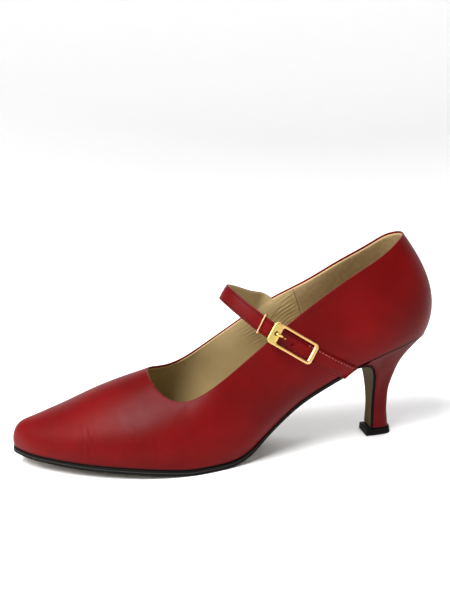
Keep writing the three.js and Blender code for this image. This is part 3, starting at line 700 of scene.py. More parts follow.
def strap_rings(at, across, profile, flare=0.0):
    """Rings of a strap: its section carried along the line; a flare widens mostly its lower side."""
    _, across, out = strap_frames(at, across)
    wide = profile[:, 0] * (1 + flare * np.where(profile[:, 0] < 0, 1.0, FLARE_ABOVE))
    wide = np.broadcast_to(wide, (len(at), len(profile)))
    rings = at[:, None] + across[:, None] * wide[..., None] + out[:, None] * profile[:, 1, None]
    return rings, as_points(arc_lengths(at)[:, None], wide)


ROOT_DROP = [(96.0, 77.4), (92.6, 74.6)]  # X and Z of the strap's root below the inner topline
ROOT_FADE = (7.5, 17)  # along the strap, from lying on the quarter to standing free
ROOT_FLARE = {"wide": 1.9, "reach": 10.5}
LINING_SINK = 1.08  # the strap's lining under its outer face
SOLE_LAP = 4.2  # the buckled strap's run past the first point of SIDE_RUN


def draped(rings, near, share, height, quarter, side, beyond=None):
    """Rows near the quarter moved over its face, by a share that fades; beyond it, over an edge if any."""
    x, y, z = np.moveaxis(rings[near], -1, 0)
    face = quarter.beside(x, np.maximum(z, feather(x) + GAP), side)
    if beyond:
        face = np.where(np.isnan(face), beyond(np.clip(x, COLLAR[0], THROAT[0])), face)
    wanted = face + side * height
    rings[near, :, 1] = mix(y, np.where(np.isnan(wanted), y, wanted), share)
    return rings


def instep_strap(leather, lining, quarter):
    """Strap that is one with the inner quarter: its root lies on the quarter and flares into it."""
    drop = np.array(ROOT_DROP)
    y = quarter.beside(drop[:, 0], drop[:, 1], -1)
    root = np.column_stack([drop[:, 0], y - 0.05, drop[:, 1]])
    line, length = chord_spline(np.concatenate([root[::-1], INSTEP_PATH]), 260)
    line, from_root = line[::-1], np.linspace(length, 0, len(line))
    flare = ROOT_FLARE["wide"] * bell(from_root, ROOT_FLARE["reach"])[:, None]
    near = from_root < ROOT_FADE[1]
    share = (1 - smooth(*ROOT_FADE, from_root[near]))[:, None]
    outer = strap_profile(STRAP_WIDTH, 1.15, (-STRAP_SEAM, STRAP_SEAM))
    backing = strap_profile(STRAP_WIDTH - 0.5, 0.8, ()) - [0, LINING_SINK]
    for name, material, profile, slot, node in (
        ("instep_strap_leather", leather, outer, "upper_leather", "instep_strap"),
        ("instep_strap_lining", lining, backing, "lining_leather", None),
    ):
        rings, uv = strap_rings(line, LEAN_ACROSS, profile, flare)
        rings = draped(rings, near, share, profile[:, 1] + 0.06, quarter, -1, top_inner)
        object_from(name, [tube(rings, uv)], material, node, 60)
    return line


def side_stations(quarter, lift):
    """Middle of the strap over the outer quarter, from the sole edge to the topline, and its run."""
    (x0, z0), (x1, z1) = SIDE_RUN
    length = math.hypot(x1 - x0, z1 - z0)
    share = np.linspace(-SOLE_LAP / length, 0.97, 12)
    x, z = mix(x0, x1, share), mix(z0, z1, share)
    y = quarter.beside(x, np.maximum(z, feather(x) + 0.4), 1)
    return np.column_stack([x, y + lift, z]), np.array([x1 - x0, z1 - z0]) / length


SPARE_HOLE = {"x": 93.4, "z": 66.6, "radius": 0.75, "deep": 1.15, "rim": 0.09, "rim_width": 0.28}
SLANT = {"reach": 1.4, "rows": 30.0}
SIDE_FADE = (84, 94)  # X where the buckled strap lifts off the quarter
SIDE_TURN = (96, 108)  # X where it turns to lie along the instep strap


def buckled_strap(material, quarter, instep):
    """Strap on the outer quarter, up through the frame, and on along the instep strap to the keeper."""
    lift = BUCKLED_THICK + 0.12
    side, run = side_stations(quarter, lift)
    over = instep + strap_frames(instep)[2] * (lift + 0.1)
    tail = line_at(TAIL_AT, arc_lengths(instep), over)
    line, _ = chord_spline(np.concatenate([side, tail]), 320)
    share = smooth(*SIDE_TURN, line[:, 0])[:, None]
    across = mix(np.array([-run[1], 0.0, run[0]]), LEAN_ACROSS, share)
    profile = strap_profile(STRAP_WIDTH, BUCKLED_THICK, (-STRAP_SEAM, STRAP_SEAM))
    rings, uv = strap_rings(line, across, profile)
    rings = rings + slant(line, profile)
    near = rings[:, :, 0].min(axis=1) < SIDE_FADE[1]
    share = 1 - smooth(*SIDE_FADE, rings[near][..., 0])
    rings = draped(rings, near, share, 0.1 + BUCKLED_THICK + profile[:, 1], quarter, 1)
    distance = np.hypot(rings[..., 0] - SPARE_HOLE["x"], rings[..., 2] - SPARE_HOLE["z"])
    radius = SPARE_HOLE["radius"]
    sink = SPARE_HOLE["deep"] * (1 - smooth(radius * 0.7, radius, distance))
    raised = SPARE_HOLE["rim"] * bell(distance - radius * 1.35, SPARE_HOLE["rim_width"])
    rings[..., 1] += (raised - sink) * (profile[:, 1] > -BUCKLED_THICK / 2)
    object_from("buckled_strap_leather", [tube(rings, uv)], material, "buckle_strap", 60)
    return line, rings, profile


def slant(line, profile):
    """Slide of each row along the strap that cuts its end at the sole aslant, fading along it."""
    slide = -SLANT["reach"] * (profile[:, 0] / (STRAP_WIDTH / 2))
    fade = np.exp(-np.arange(len(line)) / SLANT["rows"])
    return unit(line[1] - line[0]) * slide[None, :, None] * fade[:, None, None]


def stitches(name, rings, profile, across, material, start, stop):
    """A row of thread along a strap: short bowed tubes, sunk at both ends, at that place across."""
    k = int(np.argmin(np.abs(profile[:, 0] - across) + 9 * (profile[:, 1] < -0.7)))
    line = rings[:, k]
    out = unit(np.cross(np.gradient(line, axis=0), rings[:, k - 4] - rings[:, k + 4]))
    arc = arc_lengths(line)
    share = np.linspace(0, 1, STITCH["steps"])
    where = np.arange(start, arc[-1] - stop, STITCH["pitch"])[:, None] + share * STITCH["pitch"] * 0.72
    middle, normal = line_at(where, arc, line), unit(line_at(where, arc, out))
    beside = np.cross(normal, unit(np.gradient(middle, axis=1)))
    bow = np.sin(np.pi * share)
    middle = middle + normal * (0.16 * bow - 0.06)[None, :, None]
    turn = full_turn(STITCH["sides"])[:, None]
    thick = STITCH["radius"] * (0.35 + 0.65 * bow)[None, :, None, None]
    circle = normal[:, :, None] * np.cos(turn) + beside[:, :, None] * np.sin(turn)
    rings = middle[:, :, None] + thick * circle
    object_from(name, [tube(stitch) for stitch in rings], material)


# ---- buckle, prong, keeper ----


def rounded_rectangle(low_x, high_x, half_y, radius, side_steps=24, corner_steps=14):
    """Outline round a rectangle with round corners; equal step counts let two outlines pair up."""
    corners = [(high_x, -half_y, -90), (high_x, half_y, 0), (low_x, half_y, 90), (low_x, -half_y, 180)]
    arcs = []
    for x, y, start in corners:
        angle = np.radians(start + np.linspace(0, 90, corner_steps))
        cx, cy = x - math.copysign(radius, x - (low_x + high_x) / 2), y - math.copysign(radius, y)
        arcs.append(as_points(cx + radius * np.cos(angle), cy + radius * np.sin(angle)))
    share = np.linspace(0, 1, side_steps + 2)[1:-1, None]
    sides = [mix(arc[-1], following[0], share) for arc, following in zip(arcs, arcs[1:] + arcs[:1])]
    return np.concatenate([points for pair in zip(arcs, sides) for points in pair])


def buckle_frame_axes(strap_line):
    """Base point of the frame and its axes: along the strap, across it and out of the shoe."""
    outer_run = strap_line[: int(len(strap_line) * 0.9)]
    ends = [outer_run[np.argmin(np.abs(outer_run[:, 0] - x))] for x in BUCKLE_AT]
    along = unit(ends[1] - ends[0])
    across = unit(np.array([-along[2], -FRAME_TILT, along[0]]))
    across = unit(across - along * (across @ along))
    return (ends[0] + ends[1]) / 2, along, across, -np.cross(along, across)


def in_frame(axes, x, y, z):
    """Points with their own x along, y across and z out of the buckle's frame, in the shoe's frame."""
    return axes[0] + as_points(x, y, z) @ np.array(axes[1:])


# Section of a rail from its outer wall to the window: share of the way in, share of the thickness.
RAIL_PROFILE = columns("inward high", [
    (0.10, 0.0), (0.0, 0.10), (0.0, 0.62), (0.05, 0.78), (0.16, 0.90), (0.30, 0.97), (0.45, 1.0),
    (0.60, 0.985), (0.72, 0.93), (0.80, 0.84), (0.96, 0.60), (1.0, 0.52), (1.0, 0.12), (0.92, 0.0),
])
FRAME_LIFT = 0.35
FRAME_TILT = 0.22  # the frame's upper rail leans in with the quarter
PRONG_HOOK = columns("ahead high", [  # from the window's edge and the plate's face
    (2.7, -0.35), (2.1, 0.35), (1.0, 0.72), (-0.4, 0.5), (-1.7, -0.35), (-3.0, -1.5), (-4.1, -1.6),
])
PRONG_WIDTH = columns("share radius", [
    (0, 0.55), (0.12, 0.85), (0.3, 0.9), (0.6, 0.62), (0.85, 0.42), (1, 0.2),
])
PRONG_SQUASH = 0.8
PLATE_EYE = columns("size high", [(1.0, 0.04), (0.92, 0.07), (0.8, 0.03), (0.4, 0.015)])


def buckle(gold, axes):
    """Frame and plate in one ring: the rail's section runs between the outer outline and the window."""
    end, half, plate = BUCKLE["length"] / 2, BUCKLE["width"] / 2, BUCKLE["plate"]
    outer = rounded_rectangle(-end, end, half, BUCKLE["corner"])
    inner_half, corner = half - BUCKLE["bar"], BUCKLE["window_corner"]
    window = rounded_rectangle(-end + BUCKLE["end_bar"], end - plate, inner_half, corner)
    reach = np.minimum(1, BUCKLE["shoulder"] / np.linalg.norm(window - outer, axis=1))
    share = RAIL_PROFILE["inward"][:, None]
    outline = mix(outer, window, np.where(share < 0.5, share * reach, 1 - (1 - share) * reach)[..., None])
    bow = -BUCKLE["bow"] * (outline[..., 0] / end) ** 2
    high = RAIL_PROFILE["high"][:, None] * BUCKLE["thick"] + FRAME_LIFT + bow
    rings = in_frame(axes, outline[..., 0], outline[..., 1], high)
    object_from("buckle_frame_gold", [tube(rings, looped=True)], gold, "buckle_frame", 60)


def swept(path, radius):
    """Flattened rod along a path lying in its own XZ plane: a circle turned with the path's direction."""
    beside = np.array([0.0, 1.0, 0.0])
    normal = unit(np.cross(unit(np.gradient(path, axis=0)), beside))
    turn = full_turn(16)[:, None]
    circle = normal[:, None] * (PRONG_SQUASH * np.cos(turn)) + beside * np.sin(turn)
    return path[:, None] + circle * radius[:, None, None]


def prong(gold, dark, axes):
    """Hooked prong: rises out of an eye in the plate, bows over its edge and dips into the window."""
    edge = BUCKLE["length"] / 2 - BUCKLE["plate"]
    top = BUCKLE["thick"] + FRAME_LIFT - 0.1
    knots = as_points(edge + PRONG_HOOK["ahead"], 0, top + PRONG_HOOK["high"])
    path, _ = chord_spline(knots, 40)
    radius = np.interp(np.linspace(0, 1, 40), PRONG_WIDTH["share"], PRONG_WIDTH["radius"])
    rod = in_frame(axes, *np.moveaxis(swept(path, radius), -1, 0))
    object_from("buckle_prong_gold", [tube(rod)], gold, "buckle_prong")
    # Painted shade: a dark patch on the plate's face stands in for the shade inside the prong's eye; the
    # plate has no hole.
    turn, size = full_turn(36), PLATE_EYE["size"][:, None]
    x, y = edge + 2.6 + 1.15 * size * np.cos(turn), 1.35 * size * np.sin(turn)
    eye = in_frame(axes, x, y, top + PLATE_EYE["high"][:, None])
    object_from("buckle_plate_eye", [tube(eye)], dark)


def keeper(gold, instep):
    """Wire loop round both straps: a rounded outline in the strap's cross plane, swept by the wire."""
    k = int(np.argmin(np.abs(arc_lengths(instep) - KEEPER["reach"])))
    along, across, out = (axis[k] for axis in strap_frames(instep))
    half = STRAP_WIDTH / 2 + KEEPER["room"]
    low, high = -INSTEP_THICK - 0.75, BUCKLED_THICK + 1.1
    outline = rounded_rectangle(low, high, half, KEEPER["corner"], side_steps=30, corner_steps=12)
    sideways = unit(outline - [(low + high) / 2, 0])
    turn = full_turn(14)[:, None]
    plan = outline + sideways * (KEEPER["deep"] * np.cos(turn))[..., None]
    rise = KEEPER["wide"] * np.sin(turn) + KEEPER["lean"] * (plan[..., 1] - half)
    rings = instep[k] + out * plan[..., :1] + across * plan[..., 1:] + along * rise[..., None]
    object_from("keeper_wire", [tube(rings, looped=True)], gold, "keeper_loop")


# ---- shader maths ----


def operation(kind, swapped=False):
    """An operator of Value: one Math node of that kind, its operands swapped when reflected."""
    def apply(self, *others):
        operands = (self, *others)
        return self.nodes.math(kind, *(operands[::-1] if swapped else operands))

    return apply


class Value:
    """A number on a node's output that Python's operators work on: each adds one Math node."""

    __add__ = __radd__ = operation("ADD")
    __mul__ = __rmul__ = operation("MULTIPLY")
    __sub__, __rsub__ = operation("SUBTRACT"), operation("SUBTRACT", swapped=True)
    __abs__ = operation("ABSOLUTE")

    def __init__(self, nodes, socket):
        self.nodes, self.socket = nodes, socket

    def between(self, low, high):
        """0 below low, 1 above high, smooth between."""
        node = self.nodes.add("ShaderNodeMapRange", {"interpolation_type": "SMOOTHSTEP"}, {
            "Value": self, "From Min": low, "From Max": high, "To Min": 0.0, "To Max": 1.0,
        })
        return Value(self.nodes, node.outputs["Result"])


class Nodes:
    """One material's node tree, with the surface shader ready to take values and links."""

    def __init__(self, name):
        self.material = bpy.data.materials.new(name)
        self.material.use_nodes = True
        self.tree = self.material.node_tree
        self.surface = self.tree.nodes["Principled BSDF"]

    def add(self, kind, settings=(), inputs=()):
        """A node of that type: its settings first, then the values or links of its sockets."""
        node = self.tree.nodes.new(kind)
        for key, value in dict(settings).items():
            setattr(node, key, value)
        for key, value in dict(inputs).items():
            self.feed(node.inputs[key], value)
        return node

    def feed(self, socket, value):
        if isinstance(value, Value):
            value = value.socket
        if isinstance(value, bpy.types.NodeSocket):
            self.tree.links.new(value, socket)
        else:
            socket.default_value = value

    def math(self, kind, *operands):
        node = self.add("ShaderNodeMath", {"operation": kind}, dict(enumerate(operands)))
        return Value(self, node.outputs[0])

    def colour(self, share, first, second):
        """Mix of two colours by a share."""
        node = self.add("ShaderNodeMix", {"data_type": "RGBA"}, {0: share, 6: first, 7: second})
        return node.outputs[2]

    def shades(self, share, colour, low, high):
        """Mix of a darker and a lighter shade of one colour by a share."""
        return self.colour(share, rgb(colour, low), rgb(colour, high))

    def place(self, scale=(1, 1, 1), turn=(0, 0, 0)):
        """Object coordinates in metres, stretched and turned."""
        where = self.add("ShaderNodeTexCoord").outputs["Object"]
        inputs = {"Vector": where, "Scale": scale, "Rotation": turn}
        return self.add("ShaderNodeMapping", (), inputs).outputs[0]

    def split(self, where):
        node = self.add("ShaderNodeSeparateXYZ", (), {0: where})
        return [Value(self, output) for output in node.outputs]

    def axes(self):
        """X, Y and Z of the object coordinates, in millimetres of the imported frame."""
        return [axis * 1000.0 for axis in self.split(self.add("ShaderNodeTexCoord").outputs["Object"])]

    def uv(self):
        """The piece's own UV map, in millimetres: see the function that made the piece."""
        return self.split(self.add("ShaderNodeUVMap", {"uv_map": "UVMap"}).outputs[0])[:2]

    def noise(self, scale, detail=3.0, where=None):
        where = self.place() if where is None else where
        node = self.add("ShaderNodeTexNoise", (), {"Vector": where, "Scale": scale, "Detail": detail})
        return Value(self, node.outputs[0])

    def pores(self, scale, edge=0.3):
        """Cell pattern: 0 along the cells' borders, 1 inside them."""
        inputs = {"Vector": self.place(), "Scale": scale}
        node = self.add("ShaderNodeTexVoronoi", {"feature": "DISTANCE_TO_EDGE"}, inputs)
        return Value(self, node.outputs["Distance"]).between(0.0, edge)

    def bump(self, height, strength, distance, below=None):
        inputs = {"Height": height, "Strength": strength, "Distance": distance}
        if below is not None:
            inputs["Normal"] = below
        return self.add("ShaderNodeBump", (), inputs).outputs[0]

    def finish(self, **sockets):
        """Feeds the surface shader's sockets, named in lower case with underscores, and returns it all."""
        names = {socket.name.lower().replace(" ", "_"): socket for socket in self.surface.inputs}
        for name, value in sockets.items():
            self.feed(names[name], value)
        return self.material


SOLE_JOIN_SHADE = (0.012, 0.004, 0.004, 1.0)
SEAM_BROWN = (0.10, 0.045, 0.02, 1.0)
RUBBED_TAN = (0.085, 0.075, 0.06, 1.0)
EDGE_INK, EDGE_HIGHLIGHT = (0.006, 0.0055, 0.005, 1.0), (0.10, 0.096, 0.09, 1.0)
EDGE_LINE = 0.575  # share of the sole's thickness at the painted highlight line in the edge's groove
SCUFFED_GREY = (0.09, 0.085, 0.08, 1.0)
EYE_HOLE_SHADE = (0.03, 0.022, 0.006)
HEEL_DYE_AND_SHADE = 0.72  # the heel cover against the upper: partly its darker dye, partly painted shade
WIRE_RED_REFLECTION = (1.0, 0.84, 1.5)  # the keeper's painted reflection of the red straps against the buckle's plating, channel by channel


def rgb(colour, gain=1.0):
    return tuple(min(1.0, channel * gain) for channel in colour[:3]) + (1.0,)


def red_leather(name, colour, wear_and_join_shade=1.0, groove_shade=False):
    """Smooth semi-gloss leather: cloudy dye, faint pores, rubbed streaks, painted shade along the join with
    the sole and, when asked, painted shade in the seam grooves.
    """
    n = Nodes(name)
    _, foot = n.uv()
    cloud = n.noise(28.0, 3.0).between(0.3, 0.72)
    mottle = n.noise(160.0, 4.0).between(0.35, 0.7)
    base = n.shades(cloud, colour, 0.76, 1.1)
    base = n.colour(mottle * 0.22, base, rgb(colour, 0.72))
    rub = n.noise(420.0, 5.0, n.place((1.0, 1.0, 0.25), (0.0, 0.5, 0.3))).between(0.69, 0.78)
    marks = rub * n.noise(34.0, 2.0).between(0.55, 0.72) * (0.35 * wear_and_join_shade)
    base = n.colour(marks, base, rgb(colour, 2.6))
    # Painted shade: a dark line over the lowest 0.2 to 1.6 mm of the upper stands in for the shade in its
    # join with the sole.
    if wear_and_join_shade:
        base = n.colour((1.0 - foot.between(0.2, 1.6)) * 0.75, base, SOLE_JOIN_SHADE)
    # Painted shade: the sunk seam grooves of the straps are darkened.
    if groove_shade:
        along_seam = 1.0 - abs(abs(foot) - STRAP_SEAM).between(0.12, 0.42)
        base = n.colour(along_seam * 0.65, base, rgb(colour, 0.22))
    rough = 0.39 + cloud * 0.07 + mottle * 0.05 + marks * 0.3
    normal = n.bump(n.pores(900.0, 0.25), 0.10, 0.0001)
    normal = n.bump(n.noise(1500.0, 2.0), 0.06, 0.0001, normal)
    normal = n.bump(n.noise(90.0, 2.0), 0.12, 0.0006, normal)
    gloss = {"specular_ior_level": 0.08, "coat_weight": 0.01, "coat_roughness": 0.2}
    return n.finish(base_color=base, roughness=rough, normal=normal, **gloss)


def lining_leather(name, colour, heel_colour):
    """Matt lining leather with fine pores; behind its upright seam it is a darker, napped suede."""
    n = Nodes(name)
    x, _, z = n.axes()
    (x0, z0), (x1, z1) = LINING_SEAM
    length = math.hypot(x1 - x0, z1 - z0)
    across, up = (z1 - z0) / length, (x1 - x0) / length
    ahead = (z - z0) * up - (x - (x0 + SHIFT[0])) * across
    cloud = n.noise(38.0, 4.0).between(0.3, 0.75)
    heel = n.shades(n.noise(420.0, 5.0).between(0.3, 0.7), heel_colour, 0.88, 1.1)
    base = n.colour(ahead.between(-0.25, 0.25), heel, n.shades(cloud, colour, 0.88, 1.08))
    along_seam = 1.0 - abs(ahead).between(0.1, 0.45)
    base = n.colour(along_seam * 0.8, base, SEAM_BROWN)
    down, _ = n.uv()
    base = n.colour((1.0 - down.between(0.15, 0.55)) * 0.75, base, rgb(colour, 1.75))
    normal = n.bump(n.pores(700.0), 0.16, 0.0001)
    normal = n.bump(n.noise(700.0, 4.0), 0.22, 0.00014, normal)
    return n.finish(base_color=base, roughness=0.62 + cloud * 0.1, normal=normal, specular_ior_level=0.35)


def sock_leather(name, colour):
    """Sock leather: the lining's finish, with small dark specks."""
    n = Nodes(name)
    cloud = n.noise(30.0, 4.0).between(0.3, 0.75)
    specks = n.noise(520.0, 2.0).between(0.7, 0.76) * 0.5
    base = n.colour(specks, n.shades(cloud, colour, 0.86, 1.06), rgb(colour, 0.35))
    normal = n.bump(n.pores(650.0), 0.16, 0.0001)
    normal = n.bump(n.noise(60.0, 3.0), 0.25, 0.0006, normal)
    return n.finish(base_color=base, roughness=0.58 + cloud * 0.1, normal=normal, specular_ior_level=0.35)


def sole_leather(name, colour):
    """Sole leather: black inked edge with a painted highlight line along its groove, tan walking face
    rubbed at the ball.
    """
    n = Nodes(name)
    inset, share = n.uv()
    _, _, z = n.axes()
    cloud = n.noise(24.0, 5.0).between(0.3, 0.75)
    scratches = n.noise(300.0, 6.0, n.place((0.16, 1.0, 1.0), (0.0, 0.0, 0.25))).between(0.62, 0.72)
    ball = (1.0 - z.between(0.4, 3.0)) * n.noise(55.0, 4.0).between(0.35, 0.6)
    base = n.colour(ball * 0.6, n.shades(cloud, colour, 0.8, 1.15), RUBBED_TAN)
    base = n.colour(scratches * 0.4, base, rgb(colour, 1.9))
    ink = 1.0 - inset.between(1.0, 1.6)
    # Painted highlight: a pale line along the edge's groove.
    line = (1.0 - abs(share - EDGE_LINE).between(0.02, 0.07)) * (1.0 - inset.between(0.3, 0.5))
    base = n.colour(ink, base, n.colour(line * 0.55, EDGE_INK, EDGE_HIGHLIGHT))
    rough = (0.6 - ball * 0.12) * (1.0 - ink) + ink * 0.33
    normal = n.bump(n.noise(500.0, 4.0), 0.2, 0.00015)
    return n.finish(base_color=base, roughness=rough, normal=normal, specular_ior_level=0.03)


def black_rubber(name, colour):
    """Hard black rubber: matt, finely speckled, scuffed grey where it meets the floor."""
    n = Nodes(name)
    _, _, z = n.axes()
    worn = (1.0 - z.between(0.1, 0.9)) * n.noise(700.0, 3.0).between(0.4, 0.7)
    base = n.colour(worn * 0.5, rgb(colour), SCUFFED_GREY)
    normal = n.bump(n.noise(1800.0, 3.0), 0.25, 0.0001)
    return n.finish(base_color=base, roughness=0.48 + worn * 0.25, normal=normal, specular_ior_level=0.03)


def gold_metal(name, colour):
    """Polished gold-coloured plating with hairline wear and clouds, and a painted reflection of the red
    leather on the frame's thin rails.
    """
    n = Nodes(name)
    x, _, _ = n.axes()
    plate_end = BUCKLE_AT[1] - BUCKLE["plate"] * math.cos(STRAP_LEAN) + SHIFT[0]
    plate = x.between(plate_end - 2.5, plate_end + 0.5)
    # Painted reflection: the thin rails are tinted redder for the red leather they reflect.
    rail_red_reflection = (colour[0], colour[1] * 0.80, colour[2] * 1.1, 1.0)
    cloud = n.noise(300.0, 4.0).between(0.35, 0.75)
    hair = n.noise(900.0, 3.0, n.place((0.3, 1.0, 1.0), (0.0, 0.63, 0.0))).between(0.62, 0.72)
    base = n.colour(cloud * 0.3, n.colour(plate, rail_red_reflection, rgb(colour)), rgb(colour, 0.75))
    normal = n.bump(n.noise(1200.0, 3.0), 0.04, 0.00005)
    rough = 0.25 + cloud * 0.08 + hair * 0.12
    return n.finish(base_color=base, roughness=rough, metallic=1.0, normal=normal)


def plain_thread(name, colour):
    """Waxed thread, twisted: fine slanted ridges along it."""
    n = Nodes(name)
    ply = n.noise(1600.0, 2.0, n.place((1.0, 1.0, 0.3), (0.0, 0.8, 0.0)))
    base = n.shades(ply.between(0.35, 0.65), colour, 0.7, 1.2)
    return n.finish(base_color=base, roughness=0.45 + ply * 0.1, normal=n.bump(ply, 0.5, 0.0001))


def eye_shade(name):
    """Painted shade of the eye in the buckle's plate: a dark patch seen between the plate and the prong."""
    n = Nodes(name)
    base = n.shades(n.noise(900.0).between(0.4, 0.6), EYE_HOLE_SHADE, 1.0, 2.3)
    return n.finish(base_color=base, roughness=0.5, metallic=0.4)


# ---- settings, operators, panel ----


def colour_setting(name, description, default):
    return bpy.props.FloatVectorProperty(
        name=name, description=description, subtype="COLOR", size=3, min=0, max=1, default=default
    )


class ShoeFinish(bpy.types.PropertyGroup):
    """Colours of the shoe's finishes."""

    leather: colour_setting("Leather", "Colour of the upper and straps", (0.117, 0.0006, 0.0010))
    lining: colour_setting("Lining", "Colour of the quarter lining and the sock", (0.355, 0.26, 0.118))
    heel_lining: colour_setting("Heel lining", "Colour of the suede behind the seam", (0.325, 0.228, 0.110))
    sole: colour_setting("Sole", "Colour of the sole leather", (0.078, 0.047, 0.012))
    rubber: colour_setting("Top piece", "Colour of the rubber under the heel", (0.005, 0.0047, 0.0045))
    gold: colour_setting("Buckle", "Colour of the buckle's plating", (0.74, 0.55, 0.16))
    # This colour paints the highlight of the upper row of stitches.
    thread_highlight: colour_setting("Thread", "Colour of the pale row of stitches", (0.50, 0.16, 0.14))


def setting(name, description, default, **kind):
    """A number that the panel shows."""
    return bpy.props.FloatProperty(name=name, description=description, default=default, **kind)


class ShoeStage(bpy.types.PropertyGroup):
    """Camera and lights."""

    azimuth: setting(
        "Azimuth", "Camera's turn from the outer side towards the toe", math.radians(7.316), subtype="ANGLE"
    )
    elevation: setting("Elevation", "Camera's angle over the floor", math.radians(12.49), subtype="ANGLE")
    roll: setting("Roll", "Camera's roll about its view", math.radians(-2.548), subtype="ANGLE")
    distance: setting("Distance", "From the camera to the middle of its view", 0.43556, unit="LENGTH")
    lens: setting("Lens", "Focal length on a 36 mm sensor", 45.64, unit="CAMERA")
    light: setting("Light", "Strength of all the lights together", 1.0, min=0)


MADE = {}  # what one operator leaves for a later one: the lining's material and the straps' lines
VIEW_CENTRE = (126.2, 0.0, 88.6)
FLOOR_WHITE = (0.92, 0.92, 0.92, 1.0)
WORLD_LIGHT = 0.34
LIGHTS = (  # name, place and aim in metres, side of the square, power in watts
    ("key", (0.55, 0.45, 1.1), (0.02, 0, 0.03), 0.7, 27.0),
    ("toe_side", (1.0, 0.5, 0.75), (0.05, 0, 0.03), 0.3, 4.0),
    ("far_side", (-0.3, -0.8, 0.9), (0, 0, 0.05), 0.8, 8.0),
)


class BuildUpper(bpy.types.Operator):
    """Make the leather upper and its lining"""

    bl_idname = "shoe.upper"
    bl_label = "Upper and lining"

    def execute(self, context):
        finish = context.scene.shoe_finish
        MADE["lining"] = lining_leather("lining_leather", finish.lining, finish.heel_lining)
        upper_leather(red_leather("red_leather", finish.leather))
        quarter_lining(MADE["lining"])
        return {"FINISHED"}


class BuildSock(bpy.types.Operator):
    """Make the sock on its insole"""

    bl_idname = "shoe.sock"
    bl_label = "Sock"

    def execute(self, context):
        sock(sock_leather("sock_leather", context.scene.shoe_finish.lining))
        return {"FINISHED"}


class BuildSole(bpy.types.Operator):
    """Make the outsole with its flap, the covered heel and the top piece"""

    bl_idname = "shoe.sole"
    bl_label = "Sole and heel"

    def execute(self, context):
        finish = context.scene.shoe_finish
        outsole(sole_leather("sole_leather", finish.sole))
        # The heel cover's colour is the upper's, darkened: partly darker dye, partly painted shade.
        heel_dye_and_shade = tuple(HEEL_DYE_AND_SHADE * channel for channel in finish.leather)
        heel_cover(red_leather("heel_leather", heel_dye_and_shade, wear_and_join_shade=0.0))
        top_piece(black_rubber("black_rubber", finish.rubber))
        return {"FINISHED"}


class BuildStraps(bpy.types.Operator):
    """Make both straps with their seams"""

    bl_idname = "shoe.straps"
    bl_label = "Straps"

    def execute(self, context):
        finish = context.scene.shoe_finish
        quarter = Quarter()
        strap_red = red_leather("strap_leather", finish.leather, wear_and_join_shade=0.0, groove_shade=True)
        # Painted highlight: the upper row of stitches has a pale thread colour for its highlight; the lower
        # row keeps the leather's red.
        highlit, red = plain_thread("pale_thread", finish.thread_highlight), plain_thread("red_thread", finish.leather)
        instep = instep_strap(strap_red, MADE["lining"], quarter)
        line, rings, profile = buckled_strap(strap_red, quarter, instep)
        stitches("strap_stitches_light", rings, profile, STRAP_SEAM, highlit, 2.0, 34.0)
        stitches("strap_stitches_red", rings, profile, -STRAP_SEAM, red, 2.0, 12.0)
        MADE["instep"], MADE["line"] = instep, line
        return {"FINISHED"}


class BuildBuckle(bpy.types.Operator):
    """Make the buckle's frame, its prong and the keeper"""

    bl_idname = "shoe.buckle"
    bl_label = "Buckle and keeper"

    def execute(self, context):
        plating = context.scene.shoe_finish.gold
        gold = gold_metal("gold_metal", plating)
        axes = buckle_frame_axes(MADE["line"])
        buckle(gold, axes)
        prong(gold, eye_shade("eye_shade"), axes)
        # Painted reflection: the keeper's plating is tinted redder for the red straps it reflects.
        keeper(gold_metal("gold_wire", [a * b for a, b in zip(plating, WIRE_RED_REFLECTION)]), MADE["instep"])
        return {"FINISHED"}


def soft_light(name, at, towards, size, power):
    """A square soft light at one point, facing another."""
    data = bpy.data.lights.new(name, "AREA")
    data.shape, data.size, data.energy = "SQUARE", size, power
    light = bpy.data.objects.new(name, data)
    light.location = at
    light.rotation_euler = (Vector(towards) - Vector(at)).to_track_quat("-Z", "Y").to_euler()
    bpy.context.scene.collection.objects.link(light)


def floor_surface():
    """Pale floor: a disc that turns up at its rim, a profile of radius and height swept round."""
    bend = np.linspace(0, np.pi / 2, 14)
    radius = np.concatenate([[0.001, 0.2, 0.4, 0.7, 1.0], 1.2 + 0.6 * np.sin(bend), [1.8]])
    height = np.concatenate([np.zeros(5), 0.6 - 0.6 * np.cos(bend), [0.9]])[:, None]
    turn = full_turn(96)
    x, y = radius[:, None] * np.cos(turn), radius[:, None] * np.sin(turn)
    points = as_points(x, y, height).reshape(-1, 3)
    mesh = bpy.data.meshes.new("floor")
    mesh.from_pydata(points.tolist(), [], grid_faces(*x.shape, close_cols=True).tolist())
    mesh.polygons.foreach_set("use_smooth", np.ones(len(mesh.polygons), dtype=bool))
    return bpy.data.objects.new("floor", mesh)


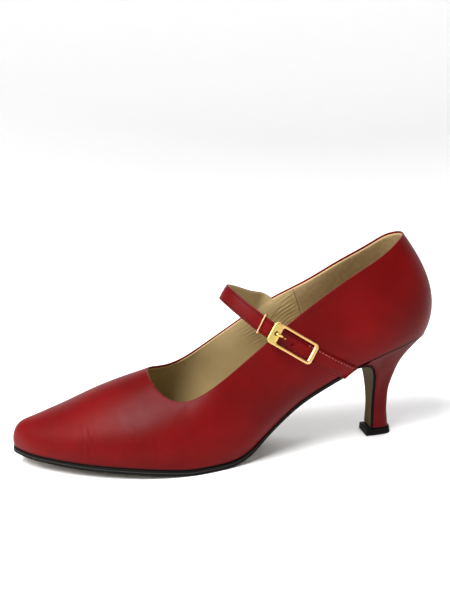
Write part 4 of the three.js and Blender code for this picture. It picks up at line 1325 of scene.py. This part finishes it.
def stage_camera(stage):
    """The camera that the settings place, looking at the middle of the shoe's side."""
    azimuth, elevation = stage.azimuth, stage.elevation
    flat = math.cos(elevation)
    back = Vector((math.sin(azimuth) * flat, math.cos(azimuth) * flat, math.sin(elevation)))
    turn = back.to_track_quat("Z", "Y") @ Quaternion((0, 0, 1), stage.roll)
    data = bpy.data.cameras.new("camera")
    data.lens, data.sensor_width, data.clip_start = stage.lens, 36.0, 0.01
    camera = bpy.data.objects.new("camera", data)
    place = Vector(placed(VIEW_CENTRE)[0]) + back * stage.distance
    camera.matrix_world = Matrix.LocRotScale(place, turn, None)
    return camera


class BuildStage(bpy.types.Operator):
    """Make the floor, the lights and the camera"""

    bl_idname = "shoe.stage"
    bl_label = "Stage"

    def execute(self, context):
        scene, stage = context.scene, context.scene.shoe_stage
        floor = floor_surface()
        scene.collection.objects.link(floor)
        floor.data.materials.append(Nodes("floor_paper").finish(base_color=FLOOR_WHITE, roughness=0.9))
        scene.camera = stage_camera(stage)
        scene.collection.objects.link(scene.camera)
        for name, at, towards, size, power in LIGHTS:
            soft_light(name, at, towards, size, power * stage.light)
        world = bpy.data.worlds.new("studio")
        scene.world = world
        world.use_nodes = True
        background = world.node_tree.nodes["Background"]
        background.inputs[0].default_value = (1, 1, 1, 1)
        background.inputs[1].default_value = WORLD_LIGHT * stage.light
        scene.view_settings.view_transform = "Standard"
        return {"FINISHED"}


PIECES = (BuildUpper, BuildSock, BuildSole, BuildStraps, BuildBuckle, BuildStage)


class ShoePanel(bpy.types.Panel):
    """Sidebar panel with the shoe's settings and its pieces"""

    bl_idname = "VIEW3D_PT_shoe"
    bl_label = "Mary jane shoe"
    bl_space_type = "VIEW_3D"
    bl_region_type = "UI"
    bl_category = "Shoe"

    def draw(self, context):
        for group in (context.scene.shoe_finish, context.scene.shoe_stage):
            for name in group.__annotations__:
                self.layout.prop(group, name)
        for piece in PIECES:
            self.layout.operator(piece.bl_idname)


CLASSES = (ShoeFinish, ShoeStage, *PIECES, ShoePanel)


def register():
    for cls in CLASSES:
        bpy.utils.register_class(cls)
    bpy.types.Scene.shoe_finish = bpy.props.PointerProperty(type=ShoeFinish)
    bpy.types.Scene.shoe_stage = bpy.props.PointerProperty(type=ShoeStage)


def unregister():
    del bpy.types.Scene.shoe_finish, bpy.types.Scene.shoe_stage
    for cls in reversed(CLASSES):
        bpy.utils.unregister_class(cls)


def main():
    register()
    for piece in PIECES:
        group, name = piece.bl_idname.split(".")
        getattr(getattr(bpy.ops, group), name)()


if __name__ == "__main__":
    main()
